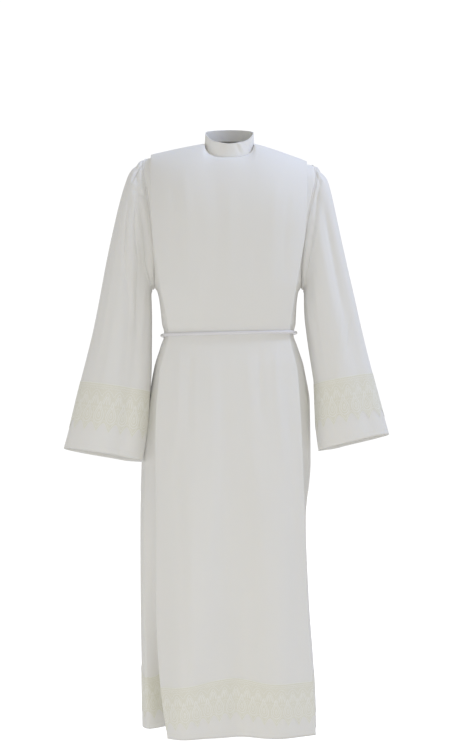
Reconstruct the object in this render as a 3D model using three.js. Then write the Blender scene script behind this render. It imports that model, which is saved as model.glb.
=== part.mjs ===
// A priest's alb: an ankle-length white tunic with wide sleeves, a stand collar, lace bands laid on
// the hem and cuffs, and a plain waist cord. It stands hollow, as it hangs on a wearer.
// Millimetres. +X is the wearer's left, +Y the back, +Z up. The origin is the middle of the neck
// opening, level with the inner ends of the shoulder seams.
import * as THREE from "three";

// Thicknesses and gaps
const CLOTH = 2;
const COLLAR_CLOTH = 2.4;
const LACE = 1.2;
const SEAM_GAP = 0.4;
const LACE_GAP = 0.4;
const CORD_DIAMETER = 8.4;
const CORD_GAP = 0.5;

// Levels
const HEM_Z = -1428;
const WAIST_Z = -468;
const ARMPIT_Z = -350;
const SKIRT_LEVELS = [-1190, -1050, -900, -760, -640, -556, -500, WAIST_Z, -432, -390];
const LACE_HEIGHT = 101;

// Neck and collar
const NECK_HALF_WIDTH = 60;
const NECK_FRONT = 64;
const NECK_BACK = 62;
const NECK_SIDE_Y = 6;
const NECK_SIDE_Z = -2;
const NECK_FRONT_Z = -40;
const NECK_BACK_Z = 12;
const COLLAR_HEIGHT = 29;
const COLLAR_LEAN = 0.97;

// How finely each piece is divided
const NECK_STEPS = 4;
const SHOULDER_STEPS = 5;
const SIDE_STEPS = 5;
const ARMHOLE_STEPS = 9;
const CORD_SIDES = 6;

// The rows of points where each panel is parted, and how many columns from its middle
const WAIST_ROW = 3 + SKIRT_LEVELS.indexOf(WAIST_Z);
const ARMPIT_ROW = 3 + SKIRT_LEVELS.length;
const SHOULDER_ROW = ARMPIT_ROW + ARMHOLE_STEPS - 2;
const NECK_COLUMNS = 2;

const SIDES = { right: -1, left: 1 };

const table = (names, rows) => rows.map((row) => Object.fromEntries(names.map((name, i) => [name, row[i]])));

// The body at each level: half-widths to the side seams, where the seams lie, depths, and the span
// that the front and back curve over
const BODY = table(
  ["z", "right", "left", "seam_y", "front", "back", "span"],
  [
    [HEM_Z, 214, 213, 18, 138, 172, 256],
    [-1291, 216, 207, 22, 138, 168, 246],
    [-1120, 219, 195, 28, 137, 160, 230],
    [-924, 220, 188, 38, 135, 150, 224],
    [-784, 217, 200, 46, 132, 141, 220],
    [-640, 202, 198, 42, 125, 129, 214],
    [-550, 184, 182, 28, 117, 119, 202],
    [WAIST_Z, 161, 158, 12, 106, 108, 184],
    [-400, 168, 162, 8, 116, 116, 196],
    [-364, 176, 168, 6, 121, 119, 206],
    [ARMPIT_Z, 184, 176, 6, 122, 120, 210],
    [-200, 184, 176, 6, 126, 122, 214],
    [-40, 184, 176, 6, 120, 112, 214],
  ],
);

// Pressed pleats that part the flat middle of a panel from its sides: each folded edge, how far the
// cloth steps in behind it and runs back under it, and how far the side beyond it bulges
const PLEAT_NAMES = ["z", "right", "left", "right_step", "left_step", "tuck", "right_bulge", "left_bulge"];
const FRONT_PLEATS = table(PLEAT_NAMES, [
  [HEM_Z, 146, 207, 158, 34, 6, 50, 4],
  [-1291, 165, 199, 130, 34, 7, 36, 4],
  [-1120, 175, 188, 92, 36, 8, 24, 6],
  [-900, 176, 181, 56, 40, 8, 14, 8],
  [-720, 178, 174, 36, 34, 8, 8, 8],
  [-560, 168, 164, 20, 20, 7, 5, 5],
  [WAIST_Z, 148, 146, 7, 7, 4, 2, 2],
  [ARMPIT_Z, 168, 162, 12, 12, 6, 2, 2],
  [-220, 186, 183, 13, 13, 6, 0, 0],
  [-60, 193, 190, 7, 7, 5, 0, 0],
]);
const BACK_PLEATS = table(PLEAT_NAMES, [
  [HEM_Z, 168, 160, 46, 56, 8, 14, 18],
  [-1120, 162, 156, 36, 42, 8, 12, 14],
  [-784, 156, 152, 26, 28, 8, 10, 10],
  [-560, 148, 146, 14, 14, 6, 5, 5],
  [WAIST_Z, 138, 136, 7, 7, 4, 2, 2],
  [ARMPIT_Z, 156, 152, 12, 12, 6, 2, 2],
  [-220, 178, 175, 12, 12, 6, 0, 0],
  [-60, 193, 190, 7, 7, 5, 0, 0],
]);

// Soft flutes of the skirt: where each starts and meets the hem, its width, and how far it stands out
const FOLD_NAMES = ["top_z", "top_x", "hem_x", "width", "depth"];
const FRONT_FOLDS = table(FOLD_NAMES, [
  [-500, -66, -112, 44, 26],
  [-620, 14, 27, 40, -20],
  [-540, 88, 124, 44, 14],
]);
const BACK_FOLDS = table(FOLD_NAMES, [
  [-500, -82, -118, 36, 22],
  [-560, -26, -42, 32, -18],
  [-500, 34, 46, 36, 20],
  [-580, 86, 104, 30, -14],
]);

const FACES = {
  front: { out: -1, depth: "front", pleats: FRONT_PLEATS, folds: FRONT_FOLDS, armhole: "front_y" },
  back: { out: 1, depth: "back", pleats: BACK_PLEATS, folds: BACK_FOLDS, armhole: "back_y" },
};

// Roundness of the body's sections, and how the chest and shoulders round over to the seams
const SECTION_POWER = 2.6;
const SHOULDER_POWER = 2.2;
const SHOULDER_ROUND = 190;

// The shoulder seams, from the neck to the pleat's folded edge and on to the sleeve
const SHOULDERS = {
  right: { edge_x: 193, edge_z: -28, end_z: -39 },
  left: { edge_x: 190, edge_z: -44, end_z: -54 },
};
const SHOULDER_Y = 11;
const SHOULDER_STEP = 6;
const SHOULDER_TUCK = 4;

// The armhole from the armpit (share 0) to the end of the shoulder seam (share 1)
const ARMHOLE = table(
  ["share", "right", "left", "front_y", "back_y"],
  [
    [0, 184, 176, 6, 6],
    [0.03, 183, 175, -10, 22],
    [0.12, 182, 174, -26, 38],
    [0.25, 183, 177, -36, 50],
    [0.41, 187, 183, -42, 57],
    [0.59, 194, 192, -43, 59],
    [0.75, 203, 203, -39, 54],
    [0.88, 211, 212, -25, 41],
    [0.97, 210, 209, -4, 24],
    [1, 206, 203, SHOULDER_Y, SHOULDER_Y],
  ],
);

// Each sleeve down its length: the outer and inner lines of its rings, its front and back, and how
// much lower the back of the ring lies than its front
const SLEEVE_NAMES = ["outer_x", "outer_z", "inner_x", "inner_z", "front_y", "back_y", "tilt"];
const SLEEVES = {
  right: table(SLEEVE_NAMES, [
    [402, -747, 213, -778, -92, 34, 17],
    [389, -698, 204, -729, -90, 36, 15],
    [362, -584, 194, -608, -86, 43, 12],
    [350, -536, 191, -572, -83, 47, 10],
    [333, -466, 190, -530, -80, 51, 8],
    [317, -385, 190, -485, -76, 56, 5],
    [300, -291, 190, -432, -73, 61, 3],
    [282, -205, 191, -397, -69, 66, 2],
    [266, -137, 192, -377, -65, 69, 0],
    [252, -92, 192, -366, -60, 70, 0],
    [232, -58, 191, -361, -54, 66, 0],
  ]),
  left: table(SLEEVE_NAMES, [
    [388, -713, 217, -752, -90, 36, 14],
    [376, -670, 211, -702, -88, 38, 13],
    [348, -564, 206, -590, -84, 44, 11],
    [335, -512, 201, -553, -81, 48, 9],
    [320, -448, 196, -520, -78, 52, 7],
    [304, -375, 189, -470, -75, 57, 5],
    [287, -300, 184, -424, -72, 62, 3],
    [270, -222, 183, -393, -68, 66, 2],
    [256, -155, 183, -376, -64, 69, 0],
    [244, -106, 183, -366, -60, 69, 0],
    [226, -72, 183, -361, -54, 65, 0],
  ]),
};
const SLEEVE_POWER = 2.2;
const SLEEVE_LACE_ROWS = [1, 2];

// Soft folds down the sleeves: the angle round the ring from its outer line, by way of the front,
// the width in degrees, and how far the cloth stands out at the cuff and at the shoulder
const SLEEVE_FOLDS = {
  right: table(
    ["angle", "width", "cuff", "shoulder"],
    [
      [118, 16, -10, -7],
      [76, 18, 4, 5],
      [236, 18, -9, -6],
    ],
  ),
  left: table(
    ["angle", "width", "cuff", "shoulder"],
    [
      [62, 18, -6, -6],
      [104, 20, 4, 3],
      [242, 18, -9, -6],
    ],
  ),
};

// How far the lower edge of the hem lace lies above the hem, round the body (0 is the wearer's left,
// -90 the front)
const LACE_RISE = table(
  ["angle", "rise"],
  [
    [-180, 33],
    [-173, 24],
    [-142, 18],
    [-127, 21],
    [-103, 37],
    [-86, 41],
    [-70, 37],
    [-50, 29],
    [-26, 29],
    [0, 34],
    [48, 26],
    [92, 44],
    [138, 24],
    [173, 44],
    [180, 33],
  ],
);

const lerp = (a, b, share) => a + (b - a) * share;
const clamp = (value) => Math.min(1, Math.max(0, value));
const smooth = (value) => clamp(value) ** 2 * (3 - 2 * clamp(value));

// The value of a table's column at a place along its key column, on a smooth curve with no overshoot
function track(rows, key, column, at) {
  const last = rows.length - 1;
  if (at <= rows[0][key]) return rows[0][column];
  if (at >= rows[last][key]) return rows[last][column];
  const i = rows.findIndex((row, n) => n < last && at < rows[n + 1][key]);
  const slope = (n) => (rows[n + 1][column] - rows[n][column]) / (rows[n + 1][key] - rows[n][key]);
  const tangent = (n) => {
    if (n === 0) return slope(0);
    if (n === last) return slope(last - 1);
    const [before, after] = [slope(n - 1), slope(n)];
    return before * after > 0 ? (2 * before * after) / (before + after) : 0;
  };
  const width = rows[i + 1][key] - rows[i][key];
  const f = (at - rows[i][key]) / width;
  const start = (1 + 2 * f) * (1 - f) ** 2 * rows[i][column] + f * (1 - f) ** 2 * width * tangent(i);
  const end = f ** 2 * (3 - 2 * f) * rows[i + 1][column] - f ** 2 * (1 - f) * width * tangent(i + 1);
  return start + end;
}

const body = (column, z) => track(BODY, "z", column, z);
const pleat = (face, column, z) => track(face.pleats, "z", column, z);
const sideName = (x) => (x < 0 ? "right" : "left");

// How far out the flat middle of a panel lies
function panelDepth(face, x, z) {
  const rounded = 1 - Math.abs(x / body("span", z)) ** SECTION_POWER;
  let depth = body(face.depth, z) * rounded ** (1 / SECTION_POWER);
  for (const fold of face.folds) {
    const fall = smooth((fold.top_z - z) / (fold.top_z - HEM_Z));
    const centre = lerp(fold.top_x, fold.hem_x, (fold.top_z - z) / (fold.top_z - HEM_Z));
    depth += fold.depth * fall * Math.exp(-(((x - centre) / fold.width) ** 2));
  }
  return depth;
}

// A point of the neckline or shoulder seam, for a share from -1 to 1 between the two folded edges
function topPoint(face, share) {
  const side = sideName(share);
  const shoulder = SHOULDERS[side];
  const x = Math.abs(share) * shoulder.edge_x;
  if (x <= NECK_HALF_WIDTH + 1e-6) {
    const turn = Math.asin(Math.min(1, x / NECK_HALF_WIDTH));
    const reach = face.out < 0 ? NECK_FRONT : NECK_BACK;
    const middle = face.out < 0 ? NECK_FRONT_Z : NECK_BACK_Z;
    const y = NECK_SIDE_Y + face.out * (reach + face.out * -NECK_SIDE_Y) * Math.cos(turn);
    const z = lerp(middle, NECK_SIDE_Z, 1 - Math.cos(turn));
    return new THREE.Vector3(SIDES[side] * x, y, z);
  }
  const run = (x - NECK_HALF_WIDTH) / (shoulder.edge_x - NECK_HALF_WIDTH);
  const y = lerp(NECK_SIDE_Y, SHOULDER_Y, run);
  const z = lerp(NECK_SIDE_Z, shoulder.edge_z, run ** 1.15);
  return new THREE.Vector3(SIDES[side] * x, y, z);
}

function armholePoint(side, face, share) {
  const x = SIDES[side] * track(ARMHOLE, "share", side, share);
  const y = track(ARMHOLE, "share", face.armhole, share);
  return new THREE.Vector3(x, y, lerp(ARMPIT_Z, SHOULDERS[side].end_z, share));
}

// The columns of a panel from the wearer's right to the left: its right side, its flat middle, its left
function panelColumns() {
  const middle = [];
  for (let i = -NECK_STEPS - SHOULDER_STEPS; i <= NECK_STEPS + SHOULDER_STEPS; i += 1) {
    const side = sideName(i);
    const neckShare = NECK_HALF_WIDTH / SHOULDERS[side].edge_x;
    const count = Math.abs(i);
    const top =
      count <= NECK_STEPS
        ? neckShare * Math.sin(((count / NECK_STEPS) * Math.PI) / 2)
        : lerp(neckShare, 1, (count - NECK_STEPS) / SHOULDER_STEPS);
    middle.push({ low: i / (NECK_STEPS + SHOULDER_STEPS), top: SIDES[side] * top });
  }
  const flank = (side) => Array.from({ length: SIDE_STEPS + 1 }, (_, i) => ({ side, out: i / SIDE_STEPS }));
  return [...flank("right").reverse(), ...middle, ...flank("left")];
}

// A point on the flat middle of a panel: share is 0 up to the armpits, and 1 along the top seams
function middlePoint(face, column, z, share) {
  const top = topPoint(face, column.top);
  const level = share > 0 ? lerp(ARMPIT_Z, top.z, share) : z;
  const across = lerp(column.low, column.top, share ** 2);
  const x = across * pleat(face, sideName(across), level);
  const low = face.out * panelDepth(face, x, level);
  const lift = clamp((top.z - level) / SHOULDER_ROUND);
  const rounding = (1 - (1 - lift) ** SHOULDER_POWER) ** (1 / SHOULDER_POWER);
  return new THREE.Vector3(share === 1 ? top.x : x, lerp(top.y, low, rounding), level);
}

// A point of the side beyond a pleat's folded edge, from under the fold out to the seam or armhole
function flankPoint(face, column, z, share) {
  const { side, out } = column;
  const folded = middlePoint(face, { low: SIDES[side], top: SIDES[side] }, z, share);
  const over = share ** 10;
  const step = lerp(pleat(face, `${side}_step`, folded.z), SHOULDER_STEP, over);
  const tuck = lerp(pleat(face, "tuck", folded.z), SHOULDER_TUCK, over);
  const inward = new THREE.Vector3(0, -face.out * (1 - over), -over).normalize().multiplyScalar(step);
  const under = folded.clone().add(inward);
  under.x -= SIDES[side] * tuck;
  const seam =
    share > 0
      ? armholePoint(side, face, share)
      : new THREE.Vector3(SIDES[side] * body(side, z), body("seam_y", z), z);
  const bulge = pleat(face, `${side}_bulge`, folded.z) * (1 - share) * Math.sin(Math.PI * out);
  return new THREE.Vector3(
    lerp(under.x, seam.x, Math.sin((Math.PI / 2) * out)),
    lerp(under.y, seam.y, out) + face.out * bulge,
    lerp(under.z, seam.z, out),
  );
}

const panelPoint = (face, column, z, share) =>
  column.side ? flankPoint(face, column, z, share) : middlePoint(face, column, z, share);

// Shares of the armhole's height, closer together at the armpit and the shoulder
const armholeShares = Array.from(
  { length: ARMHOLE_STEPS + 1 },
  (_, i) => (1 - Math.cos((Math.PI * i) / ARMHOLE_STEPS)) / 2,
);

// The rows of a panel: the hem, both edges of its lace, the levels of the skirt, then the armhole's shares
function panelGrid(face) {
  const columns = face.out < 0 ? panelColumns() : panelColumns().reverse();
  const hem = columns.map((column) => panelPoint(face, column, HEM_Z, 0));
  const rises = hem.map((point) => {
    const angle = THREE.MathUtils.radToDeg(Math.atan2(point.y, point.x));
    return track(LACE_RISE, "angle", "rise", angle);
  });
  const lifted = (height) => columns.map((column, i) => panelPoint(face, column, HEM_Z + rises[i] + height, 0));
  const level = (z) => columns.map((column) => panelPoint(face, column, z, 0));
  const shared = (share) => columns.map((column) => panelPoint(face, column, ARMPIT_Z, share));
  return [hem, lifted(0), lifted(LACE_HEIGHT), ...SKIRT_LEVELS.map(level), ...armholeShares.map(shared)];
}

// The rings of a sleeve from the cuff up to the armhole, each running round like the hem, front to left
function sleeveGrid(side) {
  const rings = SLEEVES[side];
  const count = 2 * ARMHOLE_STEPS;
  const grid = rings.map((ring, n) => {
    const along = n / (rings.length - 1);
    return Array.from({ length: count }, (_, i) => {
      const degrees = (360 * i) / count;
      const turn = THREE.MathUtils.degToRad(degrees);
      let swell = 0;
      for (const fold of SLEEVE_FOLDS[side]) {
        const depth = lerp(fold.cuff, fold.shoulder, along);
        swell += depth * Math.exp(-(((degrees - fold.angle) / fold.width) ** 2));
      }
      const round = (value) => Math.sign(value) * Math.abs(value) ** (2 / SLEEVE_POWER);
      const across = round(Math.cos(turn));
      const forward = round(Math.sin(turn));
      const x = lerp(ring.inner_x, ring.outer_x, (1 + across) / 2) + swell * Math.cos(turn);
      const y = lerp(ring.back_y, ring.front_y, (1 + forward) / 2) - swell * Math.sin(turn);
      const z = lerp(ring.inner_z, ring.outer_z, (1 + across) / 2) + (ring.tilt * forward) / 2;
      return new THREE.Vector3(SIDES[side] * x, y, z);
    });
  });
  const front = armholeShares.map((share) => armholePoint(side, FACES.front, share)).reverse();
  const back = armholeShares.slice(1, -1).map((share) => armholePoint(side, FACES.back, share));
  grid.push([...front, ...back]);
  return side === "right" ? grid : grid.map((ring) => ring.reverse());
}

// The neckline from the wearer's left shoulder, round the back and the front, to the left shoulder again
function collarGrid() {
  const neck = (face) =>
    panelColumns()
      .filter((column) => !column.side && Math.abs(topPoint(face, column.top).x) < NECK_HALF_WIDTH + 1e-3)
      .map((column) => topPoint(face, column.top));
  const seam = [...neck(FACES.back).reverse(), ...neck(FACES.front).slice(1)];
  const raised = (share) =>
    seam.map((point) => {
      const lean = lerp(1, COLLAR_LEAN, share);
      return new THREE.Vector3(point.x * lean, point.y * lean, point.z + share * COLLAR_HEIGHT);
    });
  return [seam, raised(0.5), raised(1)];
}

// A piece of cloth before it has a thickness: a grid of points, and which of its edges are seams
function piece(name, grid, { ring = false, seams = [], thickness = CLOTH }) {
  return { name, grid, ring, seams, thickness, normals: gridNormals(grid, ring) };
}

// The cell corners round a grid point, each with its two neighbours in the order that faces outward
function gridNormals(grid, ring) {
  const rows = grid.length;
  const columns = grid[0].length;
  const sums = grid.map((row) => row.map(() => new THREE.Vector3()));
  const cells = ring ? columns : columns - 1;
  for (let r = 0; r < rows - 1; r += 1) {
    for (let c = 0; c < cells; c += 1) {
      const next = (c + 1) % columns;
      const diagonalUp = grid[r + 1][next].clone().sub(grid[r][c]);
      const diagonalDown = grid[r][next].clone().sub(grid[r + 1][c]);
      const facing = diagonalDown.cross(diagonalUp).normalize();
      for (const [row, column] of [[r, c], [r, next], [r + 1, c], [r + 1, next]]) {
        sums[row][column].add(facing);
      }
    }
  }
  return sums.map((row) => row.map((sum) => sum.normalize()));
}

// The front or back, parted at the waist, armpits and shoulders and each side of the neck, so that
// collision can follow it closely
function panelPieces(name) {
  const grid = panelGrid(FACES[name]);
  const [top, end] = [grid.length - 1, grid[0].length - 1];
  const [start, stop] = [end / 2 - NECK_COLUMNS, end / 2 + NECK_COLUMNS];
  const [first, last] = FACES[name].out < 0 ? ["right", "left"] : ["left", "right"];
  const parts = {
    [`skirt_${name}`]: [0, WAIST_ROW, 0, end],
    [`waist_${name}`]: [WAIST_ROW, ARMPIT_ROW, 0, end],
    [`chest_${name}`]: [ARMPIT_ROW, SHOULDER_ROW, 0, end],
    [`shoulder_${name}_${first}`]: [SHOULDER_ROW, top, 0, start],
    [`neck_${name}`]: [SHOULDER_ROW, top, start, stop],
    [`shoulder_${name}_${last}`]: [SHOULDER_ROW, top, stop, end],
  };
  const pieces = {};
  for (const [key, [low, high, from, to]] of Object.entries(parts)) {
    const part = grid.slice(low, high + 1).map((row) => row.slice(from, to + 1));
    const seams = low > 0 ? ["bottom", "top", "ends"] : ["top", "ends"];
    pieces[key] = piece(key, part, { seams });
  }
  return pieces;
}

// Pieces that are sewn together share one direction through the cloth all along their seam
function shareNormals(pieces) {
  const meeting = new Map();
  const keyOf = (point) => point.toArray().map((value) => Math.round(value * 100)).join();
  const visit = (action) => {
    for (const item of pieces) {
      item.grid.forEach((row, r) => row.forEach((point, c) => action(item, r, c, keyOf(point))));
    }
  };
  visit((item, r, c, key) => {
    if (!meeting.has(key)) meeting.set(key, new Map());
    meeting.get(key).set(item.name, item.normals[r][c]);
  });
  visit((item, r, c, key) => {
    const sum = new THREE.Vector3();
    for (const normal of meeting.get(key).values()) sum.add(normal);
    item.normals[r][c] = sum.normalize();
  });
}

// Where a seam's edge lies once it is drawn back from its neighbour by half of the seam's gap
function drawnBack(item, r, c) {
  const { grid, normals, ring, seams } = item;
  const point = grid[r][c].clone();
  const [rows, columns] = [grid.length, grid[0].length];
  const at = (row, column) => grid[row][ring ? (column + columns) % columns : column];
  const pull = (along, inner) => {
    const away = normals[r][c].clone().cross(along).normalize();
    const inward = inner.clone().sub(grid[r][c]);
    point.addScaledVector(away, (Math.sign(away.dot(inward)) * SEAM_GAP) / 2);
  };
  const alongRow = () => {
    const before = ring || c > 0 ? at(r, c - 1) : grid[r][c];
    const after = ring || c < columns - 1 ? at(r, c + 1) : grid[r][c];
    return after.clone().sub(before);
  };
  const alongColumn = () => {
    return grid[Math.min(rows - 1, r + 1)][c].clone().sub(grid[Math.max(0, r - 1)][c]);
  };
  if (seams.includes("bottom") && r === 0) pull(alongRow(), grid[1][c]);
  if (seams.includes("top") && r === rows - 1) pull(alongRow(), grid[rows - 2][c]);
  if (seams.includes("ends") && c === 0) pull(alongColumn(), grid[r][1]);
  if (seams.includes("ends") && c === columns - 1) pull(alongColumn(), grid[r][columns - 2]);
  return point;
}

// A closed wall between two offsets of a grid
function wall(name, inner, outer, ring, material) {
  const [rows, columns] = [outer.length, outer[0].length];
  const points = [...outer.flat(), ...inner.flat()];
  const vertices = points.flatMap((point) => point.toArray());
  const at = (layer, r, c) => (layer * rows + r) * columns + (c % columns);
  const faces = [];
  const quad = (a, b, c, d) => faces.push(a, b, c, a, c, d);
  // A strip of the rim is split along its shorter diagonal, which its neighbour across a seam shares
  const rim = (a, b, c, d) => {
    const shorter = points[a].distanceTo(points[c]) < points[b].distanceTo(points[d]);
    return shorter ? quad(a, b, c, d) : quad(b, c, d, a);
  };
  const cells = ring ? columns : columns - 1;
  for (let c = 0; c < cells; c += 1) {
    for (let r = 0; r < rows - 1; r += 1) {
      quad(at(0, r, c), at(0, r, c + 1), at(0, r + 1, c + 1), at(0, r + 1, c));
      quad(at(1, r, c), at(1, r + 1, c), at(1, r + 1, c + 1), at(1, r, c + 1));
    }
    rim(at(1, 0, c), at(1, 0, c + 1), at(0, 0, c + 1), at(0, 0, c));
    rim(at(0, rows - 1, c), at(0, rows - 1, c + 1), at(1, rows - 1, c + 1), at(1, rows - 1, c));
  }
  if (!ring) {
    for (let r = 0; r < rows - 1; r += 1) {
      rim(at(1, r, 0), at(0, r, 0), at(0, r + 1, 0), at(1, r + 1, 0));
      rim(at(0, r, cells), at(1, r, cells), at(1, r + 1, cells), at(0, r + 1, cells));
    }
  }
  const geometry = new THREE.BufferGeometry();
  geometry.setAttribute("position", new THREE.Float32BufferAttribute(vertices, 3));
  geometry.setIndex(faces);
  geometry.computeVertexNormals();
  const mesh = new THREE.Mesh(geometry, material);
  mesh.name = name;
  return mesh;
}

const offset = (points, normals, distance) =>
  points.map((row, r) => row.map((point, c) => point.clone().addScaledVector(normals[r][c], distance)));

function clothWall(item, material) {
  const points = item.grid.map((row, r) => row.map((_, c) => drawnBack(item, r, c)));
  const half = item.thickness / 2;
  const inner = offset(points, item.normals, -half);
  const outer = offset(points, item.normals, half);
  return wall(item.name, inner, outer, item.ring, material);
}

// Lace lies on the outside of the cloth, on the same points moved out
function laceWall(name, points, normals, material) {
  const inner = offset(points, normals, CLOTH / 2 + LACE_GAP);
  const outer = offset(points, normals, CLOTH / 2 + LACE_GAP + LACE);
  return wall(name, inner, outer, true, material);
}

// The waist cord runs taut round the outside of the gathered waist, over its pleats
function waistCord(waist, material) {
  const reach = CLOTH / 2 + CORD_GAP + CORD_DIAMETER / 2;
  const angles = Array.from({ length: 48 }, (_, i) => (2 * Math.PI * i) / 48);
  const path = angles.map((angle) => {
    const facing = new THREE.Vector3(Math.cos(angle), Math.sin(angle), 0);
    return { facing, distance: Math.max(...waist.map((point) => point.x * facing.x + point.y * facing.y)) + reach };
  });
  const corners = path.map((line, i) => {
    const next = path[(i + 1) % path.length];
    const cross = line.facing.x * next.facing.y - line.facing.y * next.facing.x;
    const x = (line.distance * next.facing.y - next.distance * line.facing.y) / cross;
    const y = (next.distance * line.facing.x - line.distance * next.facing.x) / cross;
    return new THREE.Vector3(x, y, WAIST_Z);
  });
  const section = corners.map((corner, i) => {
    const before = corners[(i + corners.length - 1) % corners.length];
    const after = corners[(i + 1) % corners.length];
    const along = after.clone().sub(before).normalize();
    const facing = new THREE.Vector3(along.y, -along.x, 0);
    return Array.from({ length: CORD_SIDES }, (_, n) => {
      const turn = (2 * Math.PI * (n + 0.5)) / CORD_SIDES;
      const point = corner.clone().addScaledVector(facing, (Math.cos(turn) * CORD_DIAMETER) / 2);
      point.z += (Math.sin(turn) * CORD_DIAMETER) / 2;
      return point;
    });
  });
  const vertices = section.flat().flatMap((point) => point.toArray());
  const faces = [];
  section.forEach((_, i) => {
    const next = (i + 1) % section.length;
    for (let n = 0; n < CORD_SIDES; n += 1) {
      const up = (n + 1) % CORD_SIDES;
      const [a, b, c, d] = [i * CORD_SIDES + n, next * CORD_SIDES + n, next * CORD_SIDES + up, i * CORD_SIDES + up];
      faces.push(a, b, c, a, c, d);
    }
  });
  const geometry = new THREE.BufferGeometry();
  geometry.setAttribute("position", new THREE.Float32BufferAttribute(vertices, 3));
  geometry.setIndex(faces);
  geometry.computeVertexNormals();
  const mesh = new THREE.Mesh(geometry, material);
  mesh.name = "waist_cord";
  return mesh;
}

const finish = (color, roughness) => new THREE.MeshStandardMaterial({ color, roughness, metalness: 0 });

function buildAlb() {
  const pieces = {
    ...panelPieces("front"),
    ...panelPieces("back"),
    sleeve_right: piece("sleeve_right", sleeveGrid("right"), { ring: true, seams: ["top"] }),
    sleeve_left: piece("sleeve_left", sleeveGrid("left"), { ring: true, seams: ["top"] }),
    collar: piece("collar", collarGrid(), { seams: ["bottom", "ends"], thickness: COLLAR_CLOTH }),
  };
  shareNormals(Object.values(pieces));

  const alb = new THREE.Group();
  for (const item of Object.values(pieces)) alb.add(clothWall(item, finish(0xf4f3ef, 0.85)));

  const round = (key, r) => [...pieces.skirt_front[key][r], ...pieces.skirt_back[key][r].slice(1, -1)];
  const hemRows = [1, 2];
  const hemPoints = hemRows.map((r) => round("grid", r));
  const hemNormals = hemRows.map((r) => round("normals", r));
  alb.add(laceWall("hem_lace", hemPoints, hemNormals, finish(0xf1eedf, 0.7)));
  for (const side of Object.keys(SIDES)) {
    const sleeve = pieces[`sleeve_${side}`];
    const points = SLEEVE_LACE_ROWS.map((r) => sleeve.grid[r]);
    const normals = SLEEVE_LACE_ROWS.map((r) => sleeve.normals[r]);
    alb.add(laceWall(`cuff_lace_${side}`, points, normals, finish(0xf1eedf, 0.7)));
  }
  alb.add(waistCord(round("grid", WAIST_ROW), finish(0xf8f8f8, 0.5)));
  return alb;
}

export default buildAlb();
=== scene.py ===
"""A priest's alb: a white ankle-length tunic with lace bands at the hem and cuffs and a waist cord.

Tables and helpers are in millimetres, and meshes are in metres. +X is the wearer's left, +Y the
back and +Z up, and the origin is the middle of the neck opening, level with the shoulder seams.
"""

import functools
import math
from types import SimpleNamespace

import bpy
import numpy as np
from bpy.props import FloatProperty, PointerProperty, StringProperty
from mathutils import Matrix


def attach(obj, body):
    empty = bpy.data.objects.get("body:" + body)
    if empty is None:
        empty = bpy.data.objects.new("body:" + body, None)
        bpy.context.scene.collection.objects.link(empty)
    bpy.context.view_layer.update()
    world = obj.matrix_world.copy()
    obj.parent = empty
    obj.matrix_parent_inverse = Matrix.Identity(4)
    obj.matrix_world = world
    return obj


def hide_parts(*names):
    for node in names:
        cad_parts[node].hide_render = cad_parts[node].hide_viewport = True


bl_info = {
    "name": "Alb",
    "version": (1, 0, 0),
    "blender": (4, 5, 0),
    "location": "3D View > Sidebar > Alb",
    "description": "Makes a white alb with lace bands and a waist cord",
    "category": "Object",
}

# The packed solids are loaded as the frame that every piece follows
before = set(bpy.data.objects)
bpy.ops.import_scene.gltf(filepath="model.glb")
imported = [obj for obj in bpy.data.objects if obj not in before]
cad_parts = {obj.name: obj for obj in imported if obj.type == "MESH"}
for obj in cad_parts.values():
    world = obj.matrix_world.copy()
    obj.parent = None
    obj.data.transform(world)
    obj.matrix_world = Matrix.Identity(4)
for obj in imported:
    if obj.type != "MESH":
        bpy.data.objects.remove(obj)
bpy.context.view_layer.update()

MM = 0.001
TINY = 1e-9

# Levels of the garment
HEM_Z = -1428
WAIST_Z = -468
ARMPIT_Z = -350
LACE_HEIGHT = 101

# The neckline's reach to the sides, the front and the back, and its heights
NECK_HALF_WIDTH = 60
NECK_FRONT = 64
NECK_BACK = 62
NECK_SIDE_Y = 6
NECK_SIDE_Z = -2
NECK_FRONT_Z = -44
NECK_BACK_Z = 12

# Share of half a panel's flat middle whose cloth ends at the neckline; how far to each side, as a
# share too, the cloth below evens out the neckline's curve; and the angle in radians at that
# distance, whose cosine is the weight given there
NECK_PART = 0.45
NECK_EASE = 0.24
NECK_EASE_TURN = 1.4

# The collar: its slope inwards at the top, its height at each turn in degrees from the front, and
# where its front ends, with the degrees over which its creases fade there
COLLAR_LEAN = 0.97
COLLAR_HEIGHT = [(0, 34), (30, 37), (60, 36.5), (90, 29)]
COLLAR_FRONT_END = 75
COLLAR_FRONT_FADE = 30

# Slanting dents of the collar's front: where each meets the seam, how far it leans over by the top,
# its width, and how far it stands out
COLLAR_CREASES = [(39, 16, 4.5, 1.5), (30, 14, 4.0, -1.2), (-20, -8, 9, -0.6)]

SIDES = {"right": -1, "left": 1}


def table(names, *rows):
    """Columns of a table by name."""
    return dict(zip(names.split(), np.array(rows, float).T))


# The body at each level: half-widths to the side seams, where the seams lie, depths, and the span
# that the front and back curve over
SECTIONS = table(
    "z right left seam_y front back span",
    (HEM_Z, 214, 213, 18, 138, 172, 256),
    (-1291, 216, 207, 22, 138, 168, 246),
    (-1120, 219, 195, 28, 137, 160, 230),
    (-924, 220, 188, 38, 135, 150, 224),
    (-784, 217, 200, 46, 132, 141, 220),
    (-640, 202, 198, 42, 125, 129, 214),
    (-550, 184, 182, 28, 117, 119, 202),
    (WAIST_Z, 161, 158, 12, 106, 108, 184),
    (-400, 168, 162, 8, 116, 116, 196),
    (-364, 176, 168, 6, 121, 119, 206),
    (ARMPIT_Z, 184, 176, 6, 122, 120, 210),
    (-200, 184, 176, 6, 126, 122, 214),
    (-40, 184, 176, 6, 120, 112, 214),
)

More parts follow.
